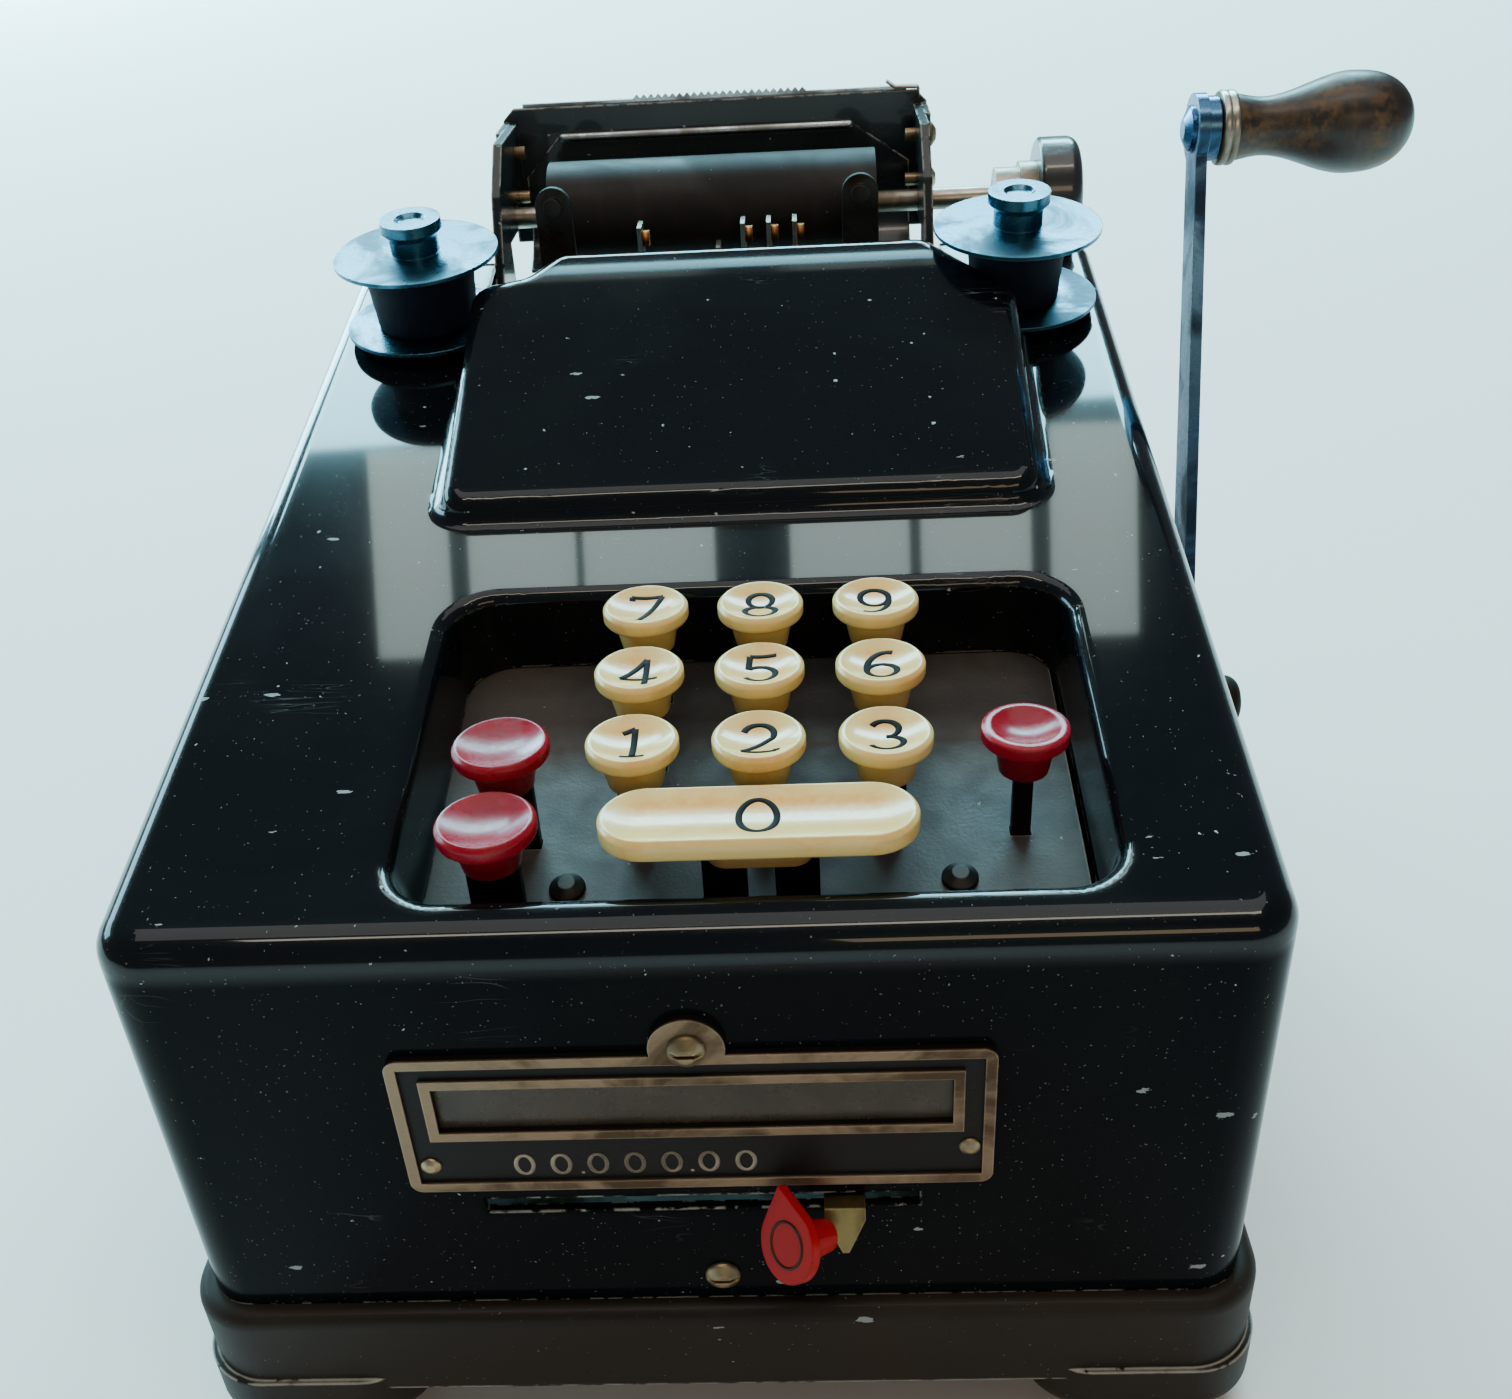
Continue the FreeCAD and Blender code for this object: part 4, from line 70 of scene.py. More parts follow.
PHOTO_WIDTH = 1512
MACHINE_ORIGIN = (-24.6, -104.5, 0.0)

# Points nearer than this, in metres, become one, and a turned form has so many in a ring.
MERGE = 1e-7
AROUND = 96

# The case, in metres: the height where its top begins, the top's rise for each metre of depth,
# the hood's back edge along y, and a height over the slope, taken at y = 0, that only the hood has.
WAIST = 0.102
TOP_SLOPE = 0.198
HOOD_BACK = 0.0575
HOOD_OVER = 0.131

Colour = tuple[float, float, float]
Spot = tuple[float, float]
Place = tuple[float, float, float]
Socket = bpy.types.NodeSocket

DUST_GREY = (0.3, 0.29, 0.27)
UP = np.array((0.0, 0.0, 1.0))
BACK = np.array((0.0, 1.0, 0.0))


class Slot(Enum):
    """The record's material slots that the scene's own pieces take their finish from."""

    CASE = "black_enamel"
    BASE = "base_enamel"
    RUBBER = "foot_rubber"
    INNER = "inner_steel"
    BRONZE = "bronze"
    KEY_PLATE = "plate_finish"
    DARK_STEEL = "blackened_steel"
    BADGE = "plate_brass"
    WINDOW = "window_glass"
    NICKEL = "nickel"
    CARRIAGE = "carriage_enamel"
    ARM = "arm_steel"
    GRIP = "grip_wood"
    RED = "red_plastic"
    SPOOL = "spool_metal"
    PLATEN = "platen_rubber"
    KNOB = "knob_black"
    IVORY = "ivory_plastic"


# Meshes


@dataclass
class Skin:
    """Points and faces that become one mesh.

    Attributes:
        points: one row of x, y, z for each point, in metres.
        faces: arrays of point numbers, a row for each face; each array has faces of one size.
        spots: a row of u, v for each point, for a pattern that follows the surface, or None.
    """

    points: np.ndarray
    faces: list[np.ndarray]
    spots: np.ndarray | None = None

    def moved(self, matrix: Matrix) -> "Skin":
        """The same skin, carried by a 4 by 4 matrix."""
        turn = np.array(matrix, float)
        return Skin(self.points @ turn[:3, :3].T + turn[:3, 3], self.faces, self.spots)

    @staticmethod
    def joined(skins: list["Skin"]) -> "Skin":
        """One skin that holds several."""
        starts = np.cumsum([0] + [len(skin.points) for skin in skins[:-1]])
        faces = [block + start for skin, start in zip(skins, starts) for block in skin.faces]
        spots = None
        if all(skin.spots is not None for skin in skins):
            spots = np.vstack([skin.spots for skin in skins])
        return Skin(np.vstack([skin.points for skin in skins]), faces, spots)

    def mesh(self, name: str) -> bpy.types.Mesh:
        """A smooth mesh of this name, its doubles merged and its faces turned outwards."""
        made = bpy.data.meshes.new(name)
        loops = np.concatenate([block.ravel() for block in self.faces]).astype(np.int32)
        sizes = np.concatenate([np.full(len(block), block.shape[1]) for block in self.faces])
        starts = np.concatenate([[0], np.cumsum(sizes)[:-1]]).astype(np.int32)
        made.vertices.add(len(self.points))
        made.vertices.foreach_set("co", self.points.astype(np.float32).ravel())
        made.loops.add(len(loops))
        made.loops.foreach_set("vertex_index", loops)
        made.polygons.add(len(starts))
        made.polygons.foreach_set("loop_start", starts)
        made.update(calc_edges=True)
        if self.spots is not None:
            layer = made.uv_layers.new(name="spots")
            layer.data.foreach_set("uv", self.spots[loops].astype(np.float32).ravel())
        made.validate()
        work = bmesh.new()
        work.from_mesh(made)
        bmesh.ops.remove_doubles(work, verts=work.verts, dist=MERGE)
        bmesh.ops.dissolve_degenerate(work, edges=work.edges, dist=MERGE)
        bmesh.ops.recalc_face_normals(work, faces=work.faces)
        work.to_mesh(made)
        work.free()
        made.shade_smooth()
        return made


def grid_faces(rows: int, columns: int, round_rows: bool, round_columns: bool) -> np.ndarray:
    """Faces of a grid of points that is numbered row by row.

    Args:
        rows: points one way.
        columns: points the other way.
        round_rows: True where the last row joins the first.
        round_columns: True where the last column joins the first.

    Returns:
        Four point numbers for each face.
    """
    high = np.arange(rows if round_rows else rows - 1)[:, None]
    wide = np.arange(columns if round_columns else columns - 1)[None, :]
    after, beside = (high + 1) % rows, (wide + 1) % columns
    corners = [high * columns + wide, high * columns + beside,
               after * columns + beside, after * columns + wide]
    shape = (high.shape[0], wide.shape[1])
    return np.stack([np.broadcast_to(corner, shape) for corner in corners], -1).reshape(-1, 4)


def rounded(corners: list[Place], step: float = 12.0) -> np.ndarray:
    """A line through corners, each rounded by an arc that touches its two runs.

    Args:
        corners: x, y and the arc's radius, for each corner in turn; the ends stay sharp.
        step: the arcs turn by at most this many degrees between points.

    Returns:
        The line's points, one row of x, y each.
    """
    spots = np.array([corner[:2] for corner in corners], float)
    line = [spots[0]]
    for before, spot, after, corner in zip(spots[:-2], spots[1:-1], spots[2:], corners[1:-1]):
        back, ahead, radius = before - spot, after - spot, corner[2]
        back, ahead = back / np.linalg.norm(back), ahead / np.linalg.norm(ahead)
        half = math.acos(max(-1.0, min(1.0, float(back @ ahead)))) / 2
        if radius <= 0 or half > math.pi / 2 - 0.01:
            line.append(spot)
            continue
        middle = spot + (back + ahead) / np.linalg.norm(back + ahead) * radius / math.sin(half)
        start = spot + back * radius / math.tan(half) - middle
        end = spot + ahead * radius / math.tan(half) - middle
        first = math.atan2(start[1], start[0])
        turn = (math.atan2(end[1], end[0]) - first + math.pi) % TURN - math.pi
        count = max(2, math.ceil(abs(math.degrees(turn)) / step) + 1)
        angles = first + turn * np.linspace(0, 1, count)
        line.extend(middle + radius * np.stack([np.cos(angles), np.sin(angles)], -1))
    line.append(spots[-1])
    return np.array(line)


def lathe(profile: np.ndarray, around: int = AROUND, straight: float = 0.0,
          ring: bool = False) -> Skin:
    """A turned form, or one with round ends and a straight middle.

    A point is the nearest point of a middle line along x, which reaches `straight` either way,
    plus the profile's radius in the direction of the angle; its height is the profile's.

    Args:
        profile: radius and height of each ring, in millimetres.
        around: points in a ring.
        straight: half the length of the middle line; zero gives a turned form.
        ring: True where the profile's end joins its start.

    Returns:
        The skin, about the z axis. Its u and v run from the middle line, at 0, to the widest
        ring, at 1.
    """
    angle = np.linspace(0, TURN, around, endpoint=False)
    if straight:
        angle = np.concatenate([np.linspace(-math.pi / 2, math.pi / 2, around // 2),
                                np.linspace(math.pi / 2, 3 * math.pi / 2, around // 2)])
    side = np.where(np.arange(len(angle)) < around // 2, straight, -straight)
    radius, height = profile[:, :1], profile[:, 1:]
    x = side + radius * np.cos(angle)
    y = radius * np.sin(angle)
    points = np.stack([x, y, np.broadcast_to(height, x.shape)], -1).reshape(-1, 3)
    middle = np.column_stack([np.tile(side, len(profile)), np.zeros(len(points))])
    spots = (points[:, :2] - middle) / profile[:, 0].max()
    return Skin(points * MM, [grid_faces(len(profile), len(angle), ring, True)], spots)


def tube(rings: np.ndarray, closed: bool = False) -> Skin:
    """A skin over rings of points.

    Args:
        rings: the points, in millimetres, by ring, by place in the ring and by axis.
        closed: True where the last ring joins the first; otherwise flat faces close both ends.

    Returns:
        The skin, in metres.
    """
    count, around = rings.shape[:2]
    faces = [grid_faces(count, around, closed, True)]
    if not closed:
        last = (count - 1) * around
        faces.append(np.array([np.arange(around), last + np.arange(around)[::-1]]))
    return Skin(rings.reshape(-1, 3) * MM, faces)


def sweep(path: np.ndarray, section: np.ndarray, up: np.ndarray, closed: bool = False) -> Skin:
    """A section carried along a path, its own x across the path and its own y along `up`.

    Args:
        path: the path's points, in millimetres.
        section: x, y of the section's corners, in order round it.
        up: the direction that the section's y keeps.
        closed: True where the path's end joins its start.

    Returns:
        The skin, in metres.
    """
    ahead = np.roll(path, -1, 0) - np.roll(path, 1, 0)
    if not closed:
        ahead[0], ahead[-1] = path[1] - path[0], path[-1] - path[-2]
    ahead /= np.linalg.norm(ahead, axis=1, keepdims=True)
    across = np.cross(ahead, np.broadcast_to(up, path.shape))
    across /= np.linalg.norm(across, axis=1, keepdims=True)
    rise = np.cross(across, ahead)
    wide, high = section[None, :, :1], section[None, :, 1:]
    return tube(path[:, None] + across[:, None] * wide + rise[:, None] * high, closed)


def circle(radius: float, count: int) -> np.ndarray:
    """The corners of a round section."""
    angle = np.linspace(0, TURN, count, endpoint=False)
    return radius * np.stack([np.cos(angle), np.sin(angle)], -1)


def linked(name: str, data: bpy.types.ID) -> bpy.types.Object:
    """A new object in the scene."""
    made = bpy.data.objects.new(name, data)
    bpy.context.scene.collection.objects.link(made)
    return made


@dataclass(frozen=True)
class Extent:
    """The box of one CAD node at rest, in metres."""

    low: Vector
    high: Vector

    @classmethod
    def of(cls, node: str) -> "Extent":
        """The box of the node with this name."""
        return cls(*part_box(node))

    @property
    def middle(self) -> Vector:
        """The box's centre."""
        return (self.low + self.high) / 2

    @property
    def top(self) -> Vector:
        """The centre of the box's top."""
        return Vector((self.middle.x, self.middle.y, self.high.z))


def machine() -> Matrix:
    """Carries the machine's own frame, in metres, into the row's frame."""
    return Matrix.Translation(Vector(MACHINE_ORIGIN) * MM)


# Shader nodes


def solid(colour: Colour) -> tuple[float, float, float, float]:
    """A colour with full alpha."""
    return (*colour, 1.0)


class Graph:
    """A node tree, with short ways to add nodes to it and to join them."""

    def __init__(self, tree: bpy.types.NodeTree) -> None:
        """Starts on an empty or a new tree."""
        self.tree = tree

    def node(self, kind: str, values: dict | None = None, **settings: object) -> bpy.types.Node:
        """Adds a node.

        Args:
            kind: the node's type; "ShaderNode" is put before it unless it starts with "Node".
            values: a number, colour or socket for each input, by the input's name or number.
            settings: the node's own properties.

        Returns:
            The node.
        """
        made = self.tree.nodes.new(kind if kind.startswith("Node") else "ShaderNode" + kind)
        for name, value in settings.items():
            setattr(made, name, value)
        for name, value in (values or {}).items():
            self.feed(made.inputs[name], value)
        return made

    def feed(self, entry: Socket, value: object) -> None:
        """Links a socket to an input, or sets the input to a value."""
        if isinstance(value, bpy.types.NodeSocket):
            self.tree.links.new(value, entry)
        elif entry.type == "RGBA":
            entry.default_value = solid(value)
        else:
            entry.default_value = value

    def math(self, operation: str, first: object, second: object = 0.5,
             clamp: bool = False) -> Socket:
        """The result of arithmetic on two values."""
        return self.node("Math", {0: first, 1: second}, operation=operation,
                         use_clamp=clamp).outputs[0]

    def times(self, first: object, second: object, clamp: bool = False) -> Socket:
        """The product of two values."""
        return self.math("MULTIPLY", first, second, clamp)

    def plus(self, first: object, second: object) -> Socket:
        """The sum of two values."""
        return self.math("ADD", first, second)

    def minus(self, first: object, second: object, clamp: bool = False) -> Socket:
        """The first value less the second."""
        return self.math("SUBTRACT", first, second, clamp)

    def most(self, first: object, second: object) -> Socket:
        """The larger of two values."""
        return self.math("MAXIMUM", first, second)

    def vector(self, operation: str, values: dict) -> bpy.types.Node:
        """Arithmetic on vectors."""
        return self.node("VectorMath", values, operation=operation)

    def fit(self, value: object, low: float, high: float, least: float = 0.0,
            most: float = 1.0) -> Socket:
        """A value carried smoothly from one range to another and held inside it."""
        names = {"Value": value, "From Min": low, "From Max": high, "To Min": least, "To Max": most}
        return self.node("MapRange", names, interpolation_type="SMOOTHSTEP").outputs["Result"]

    def mix(self, share: object, first: object, second: object) -> Socket:
        """A mix of two colours."""
        return self.node("Mix", {0: share, 6: first, 7: second}, data_type="RGBA").outputs[2]

    def layers(self, tone: object, *coats: tuple) -> Socket:
        """A colour under further ones, each given as its mask, its strength and its colour."""
        for mask, strength, colour in coats:
            share = mask if strength == 1 else self.times(mask, strength)
            tone = self.mix(share, tone, colour)
        return tone

    def between(self, share: object, first: object, second: object) -> Socket:
        """A mix of two numbers."""
        return self.node("Mix", {0: share, 2: first, 3: second}, data_type="FLOAT").outputs[0]

    def axis(self, place: Socket, number: int) -> Socket:
        """One number of a place."""
        return self.node("SeparateXYZ", {0: place}).outputs[number]

    def noise(self, place: Socket, scale: float, detail: float = 4.0,
              rough: float = 0.55) -> Socket:
        """Cloudy noise from 0 to 1."""
        values = {"Vector": place, "Scale": scale, "Detail": detail, "Roughness": rough}
        return self.node("TexNoise", values).outputs["Fac"]

    def stretched(self, place: Socket, scale: Place, turn: float = 0.0) -> Socket:
        """A place with its axes scaled, after a turn about z in radians."""
        values = {"Vector": place, "Scale": scale, "Rotation": (0.0, 0.0, turn)}
        return self.node("Mapping", values, vector_type="POINT").outputs["Vector"]

    def soft(self, reach: object, samples: int = 4) -> Socket:
        """A normal that is rounded near edges."""
        return self.node("Bevel", {"Radius": reach}, samples=samples).outputs[0]

    def bump(self, height: object, distance: float, strength: float = 1.0,
             normal: Socket | None = None) -> Socket:
        """A normal that follows a height, in metres for a height of 1."""
        values = {"Height": height, "Distance": distance, "Strength": strength}
        if normal is not None:
            values["Normal"] = normal
        return self.node("Bump", values).outputs["Normal"]


class Effects:
    """Shader groups that several finishes share: dust, worn edges, smears and scratches."""

    def __init__(self) -> None:
        """Builds each group once."""
        self.dust = self._group("dust", ("Scale", "Size", "Amount"), ("Mask",), self._dust)
        self.wear = self._group("wear", ("Reach", "Amount", "Scale"), ("Mask",), self._wear)
        self.smears = self._group("smears", ("Scale",), ("Cloud", "Fine"), self._smears)
        self.scratches = self._group("scratches", ("Scale", "Amount"), ("Mask",), self._scratches)

    @staticmethod
    def _group(name: str, inputs: tuple[str, ...], outputs: tuple[str, ...],
               build: Callable) -> bpy.types.NodeTree:
        """Builds a group.

        Args:
            name: the group's name.
            inputs: the names of its numbers; a place called Vector comes before them.
            outputs: the names of the numbers that it puts out.
            build: adds the nodes to a graph, given the group's inputs, and returns the outputs.

        Returns:
            The group.
        """
        tree = bpy.data.node_groups.new(name, "ShaderNodeTree")
        tree.interface.new_socket("Vector", in_out="INPUT", socket_type="NodeSocketVector")
        for way, entries in (("INPUT", inputs), ("OUTPUT", outputs)):
            for entry in entries:
                tree.interface.new_socket(entry, in_out=way, socket_type="NodeSocketFloat")
        graph = Graph(tree)
        given, put = graph.node("NodeGroupInput"), graph.node("NodeGroupOutput")
        for entry, value in zip(outputs, build(graph, given.outputs)):
            graph.feed(put.inputs[entry], value)
        return tree

    @staticmethod
    def _dust(graph: Graph, given: dict[str, Socket]) -> tuple[Socket]:
        """Specks: a cell has one speck where its random number is under the amount."""
        warped = graph.node("TexNoise", {"Vector": given["Vector"], "Scale": 2600.0, "Detail": 1.0})
        shift = graph.vector("SCALE", {0: warped.outputs["Color"], "Scale": 0.0007}).outputs[0]
        place = graph.vector("ADD", {0: given["Vector"], 1: shift}).outputs[0]
        cells = graph.node("TexVoronoi", {"Vector": place, "Scale": given["Scale"]}).outputs
        chance, size = graph.node("SeparateColor", {0: cells["Color"]}).outputs[:2]
        chosen = graph.math("LESS_THAN", chance, given["Amount"])
        reach = graph.times(given["Size"], graph.plus(size, 0.3))
        near = graph.minus(reach, cells["Distance"])
        return (graph.times(graph.fit(near, 0.0, 0.012), chosen),)

    @staticmethod
    def _wear(graph: Graph, given: dict[str, Socket]) -> tuple[Socket]:
        """Worn edges: where the rounded normal leaves the true one, broken up by noise."""
        true = graph.node("NewGeometry").outputs["Normal"]
        near = graph.vector("DOT_PRODUCT", {0: graph.soft(given["Reach"], 6), 1: true})
        edge = graph.fit(graph.minus(1.0, near.outputs["Value"]), 0.01, 0.12)
        cloud = graph.noise(given["Vector"], given["Scale"], 6.0, 0.65)
        gap = graph.times(graph.minus(1.0, given["Amount"]), 0.8)
        return (graph.fit(graph.minus(graph.times(edge, cloud), gap), 0.0, 0.06),)

    @staticmethod
    def _smears(graph: Graph, given: dict[str, Socket]) -> tuple[Socket, Socket]:
        """Smears: broad clouds with finer ones in them, as hands and cloths leave on gloss."""
        place = given["Vector"]
        broad = graph.node("TexNoise", {"Vector": place, "Scale": given["Scale"], "Detail": 5.0,
                                        "Roughness": 0.6, "Distortion": 0.8}).outputs["Fac"]
        finer = graph.times(given["Scale"], 9.0)
        small = graph.node("TexNoise", {"Vector": place, "Scale": finer, "Detail": 4.0})
        return graph.fit(broad, 0.35, 0.7), small.outputs["Fac"]

    @staticmethod
    def _scratches(graph: Graph, given: dict[str, Socket]) -> tuple[Socket]:
        """Scratches: thin lines where stretched noise crosses its middle, in two directions."""
        marks = []
        for turn, share in ((0.35, 1.0), (-0.9, 0.8)):
            place = graph.stretched(given["Vector"], (1.0, 14.0, 4.0), turn)
            scale = graph.times(given["Scale"], share)
            cloud = graph.node("TexNoise", {"Vector": place, "Scale": scale, "Detail": 2.0})
            away = graph.math("ABSOLUTE", graph.minus(cloud.outputs["Fac"], 0.5))
            marks.append(graph.fit(away, 0.006, 0.001))
        sparse = graph.node("TexNoise", {"Vector": given["Vector"], "Scale": 45.0}).outputs["Fac"]
        gate = graph.fit(graph.plus(sparse, given["Amount"]), 0.95, 1.1)
        return (graph.times(graph.most(*marks), gate),)


class Painter(Graph):
    """A material's tree, its shader, the place that its patterns read and the shared groups."""

    def __init__(self, tree: bpy.types.NodeTree, effects: Effects) -> None:
        """Starts on a new material's tree."""
        super().__init__(tree)
        self.effects = effects
        self.shader = tree.nodes["Principled BSDF"]
        self.place = self.node("TexCoord").outputs["Object"]

    def put(self, **values: object) -> None:
        """Feeds the shader's inputs by their names, with underscores for spaces."""
        for name, value in values.items():
            self.feed(self.shader.inputs[name.replace("_", " ")], value)

    def group(self, shared: bpy.types.NodeTree, place: Socket | None = None,
              **values: object) -> list[Socket]:
        """The outputs of a shared group, at the object's own place or at another."""
        values = {"Vector": place or self.place, **values}
        return list(self.node("Group", values, node_tree=shared).outputs)

    def dust(self, scale: float, size: float, amount: float, place: Socket | None = None) -> Socket:
        """Specks of a size in a share of the cells, of which `scale` make a metre."""
        return self.group(self.effects.dust, place, Scale=scale, Size=size, Amount=amount)[0]

    def wear(self, reach: float, amount: float, scale: float) -> Socket:
        """Worn edges of a reach, by an amount from 0 to 1, broken up at a scale."""
        return self.group(self.effects.wear, Reach=reach, Amount=amount, Scale=scale)[0]

    def smears(self, scale: float) -> list[Socket]:
        """Broad smears and the finer ones in them."""
        return self.group(self.effects.smears, Scale=scale)

    def scratches(self, scale: float, amount: float) -> Socket:
        """Scratches at a scale, by an amount from 0 to 1."""
        return self.group(self.effects.scratches, Scale=scale, Amount=amount)[0]

    def own(self) -> Socket:
        """The piece's own u and v."""
        return self.node("UVMap", uv_map="spots").outputs[0]


# Finishes


@dataclass(frozen=True)
class Finish:
    """What every finish has: a name and its colour."""

    name: str
    colour: Colour

    def material(self, effects: Effects) -> bpy.types.Material:
        """A new material in the finish's colour, with its patterns painted on."""
        made = bpy.data.materials.new(self.name)
        made.use_nodes = True
        made.diffuse_color = solid(self.colour)
        work = Painter(made.node_tree, effects)
        work.put(Base_Color=self.colour)
        self.paint(work)
        return made

    def paint(self, work: Painter) -> None:
        """Paints the finish's own patterns; a plain finish has none."""


@dataclass(frozen=True)
class Enamel(Finish):
    """Baked enamel: a deep gloss with dust, smears, fine scratches and chips at its edges.

    Attributes:
        tint: the colour that thick smears and dull spots take.
        gloss: roughness of the clean enamel.
        dull: roughness where it is smeared.
        peel: height of the orange peel, in metres.
        dust: share of the cells that hold a speck.
        chips: how far the edges are chipped, from 0 to 1.
        coat: the clear gloss over it.
        shine: level of the enamel's own reflection.
        soft: reach of the rounding at its edges, in metres.
        film: share of the gloss that is left on the walls, which nobody wipes.
        waist: height under which the walls keep that film, in metres.
        roll: how far the sheet rolls over towards the hood's back edge.
        bare: the colour under a chip.
        mark: the colour of a scratch.
        speck: the colour of a speck of dust.
    """

    tint: Colour = (0.02, 0.02, 0.02)
    gloss: float = 0.09
    dull: float = 0.13
    peel: float = 0.000003
    dust: float = 0.3
    chips: float = 0.4
    coat: float = 0.3
    shine: float = 0.35
    soft: float = 0.0008
    film: float = 1.0
    waist: float = 0.0
    roll: float = 0.0
    bare: Colour = (0.45, 0.42, 0.36)
    mark: Colour = (0.25, 0.25, 0.25)
    speck: Colour = (0.5, 0.53, 0.53)

    def rolled(self, work: Painter, normal: Socket) -> Socket:
        """Leans the normal backwards along the hood's back edge, where the sheet rolls over.

        The height over the slope is z - TOP_SLOPE * y, and the normal gets roll times y where
        that is over HOOD_OVER and y is near HOOD_BACK.
        """
        parts = work.node("SeparateXYZ", {0: work.place}).outputs
        over = work.minus(parts[2], work.times(parts[1], TOP_SLOPE))
        hood = work.fit(over, HOOD_OVER, HOOD_OVER + 0.004)
        near = work.fit(parts[1], HOOD_BACK - 0.010, HOOD_BACK)
        lean = work.times(work.times(hood, near), self.roll)
        back = work.node("CombineXYZ", {1: lean}).outputs[0]
        leant = work.vector("ADD", {0: normal, 1: back}).outputs[0]
        return work.vector("NORMALIZE", {0: leant}).outputs[0]

    def paint(self, work: Painter) -> None:
        """Paints the enamel."""
        work.put(Coat_Weight=self.coat, Coat_Roughness=0.04, Specular_IOR_Level=self.shine)
        cloud, fine = work.smears(16.0)
        slanted = work.stretched(work.place, (0.4, 1.3, 1.0), 0.7)
        marks = work.scratches(40.0, 0.32)
        worn = work.wear(0.0009, self.chips, 300.0)
        small = work.times(work.dust(1500.0, 0.15, self.dust * 0.6), 0.4)
        flakes = work.times(work.dust(300.0, 0.14, self.dust * 0.3, slanted), 0.7)
        specks = work.most(work.most(work.dust(400.0, 0.12, self.dust * 0.3), small), flakes)
        tone = work.layers(self.colour, (cloud, 1, self.tint), (marks, 0.25, self.mark),
                           (specks, 0.7, self.speck), (worn, 1, self.bare))
        gloss = work.plus(work.between(cloud, self.gloss, self.dull), work.times(fine, 0.03))
        gap = work.most(worn, work.times(specks, 0.8))
        above = work.fit(work.axis(work.place, 2), self.waist - 0.004, self.waist)
        wiped = work.between(above, self.coat * self.film, self.coat)
        normal = work.soft(self.soft)
        if self.roll:
            normal = self.rolled(work, normal)
        peel = work.bump(work.noise(work.place, 260.0, 2.0), self.peel, normal=normal)
        rough = work.most(gloss, work.times(work.most(specks, worn), 0.6))
        work.put(Base_Color=tone, Roughness=rough,
                 Coat_Weight=work.times(work.minus(1.0, gap), wiped),
                 Normal=work.bump(work.minus(0.0, worn), 0.00008, 0.6, peel))


@dataclass(frozen=True)
class Wrinkle(Finish):
    """A matt finish with a fine grain, worn brown in places."""

    worn: Colour = (0.08, 0.06, 0.045)
    edge: Colour = (0.22, 0.18, 0.13)
    rough: float = 0.5

    def paint(self, work: Painter) -> None:
        """Paints the finish."""
        work.put(Specular_IOR_Level=0.45)
        cloud, fine = work.smears(26.0)
        dust, worn = work.dust(420.0, 0.09, 0.3), work.wear(0.0006, 0.55, 500.0)
        tone = work.layers(self.colour, (cloud, 1, self.worn), (dust, 0.5, DUST_GREY),
                           (worn, 0.7, self.edge))
        work.put(Base_Color=tone,
                 Roughness=work.fit(fine, 0.2, 0.8, self.rough - 0.1, self.rough + 0.12),
                 Normal=work.bump(work.noise(work.place, 1500.0, 3.0, 0.7), 0.00006))


@dataclass(frozen=True)
class Metal(Finish):
    """Bare or plated metal with a brushed grain, tarnish in clouds and brighter edges.

    Attributes:
        tarnish: the colour of its tarnish.
        aged: how much of it is tarnished, from 0 to 1.
        rough: roughness of the clean metal.
        brushed: how the grain is stretched along x, y and z.
    """

    tarnish: Colour = (0.2, 0.15, 0.1)
    aged: float = 0.4
    rough: float = 0.25
    brushed: Place = (1.0, 6.0, 6.0)

    def paint(self, work: Painter) -> None:
        """Paints the metal."""
        work.put(Metallic=1.0)
        marks = work.scratches(160.0, 0.45)
        grain = work.noise(work.stretched(work.place, self.brushed), 900.0, 3.0, 0.6)
        dull = work.fit(work.plus(work.smears(45.0)[0], self.aged), 0.55, 1.25)
        bright = tuple(min(1.0, c * 1.25 + 0.05) for c in self.colour)
        tone = work.layers(self.colour, (dull, 1, self.tarnish), (grain, 0.25, (0.0, 0.0, 0.0)),
                           (work.wear(0.0005, 0.6, 500.0), 0.6, bright))
        rough = work.between(dull, self.rough, self.rough + 0.22)
        rough = work.plus(rough, work.times(grain, 0.12))
        height = work.minus(work.times(grain, 0.3), marks)
        work.put(Base_Color=tone, Roughness=work.minus(rough, work.times(marks, 0.12), True),
                 Normal=work.bump(height, 0.00001, normal=work.soft(0.0003)))


@dataclass(frozen=True)
class Badge(Metal):
    """The indicator plate: bare metal on its raised lines and dark paint in its sunk field.

    Attributes:
        face: y of the raised lines' front, in metres in the row's frame.
        sunk: how far behind it the paint starts.
        paint_tone: the paint's colour.
        paint_shine: level of the paint's reflection.
        paint_rough: roughness of the paint.
    """

    face: float = 0.0
    sunk: float = 0.00035
    paint_tone: Colour = (0.006, 0.005, 0.0045)
    paint_shine: float = 0.15
    paint_rough: float = 0.42

    def paint(self, work: Painter) -> None:
        """Paints the metal, then what lies behind the face."""
        super().paint(work)
        edge = self.face + self.sunk
        field = work.fit(work.axis(work.place, 1), edge - 0.00005, edge + 0.00005)
        tone, rough = (work.shader.inputs[name].links[0].from_socket
                       for name in ("Base Color", "Roughness"))
        work.put(Specular_IOR_Level=self.paint_shine,
                 Base_Color=work.mix(field, tone, self.paint_tone),
                 Roughness=work.between(field, rough, self.paint_rough),
                 Metallic=work.minus(1.0, field))


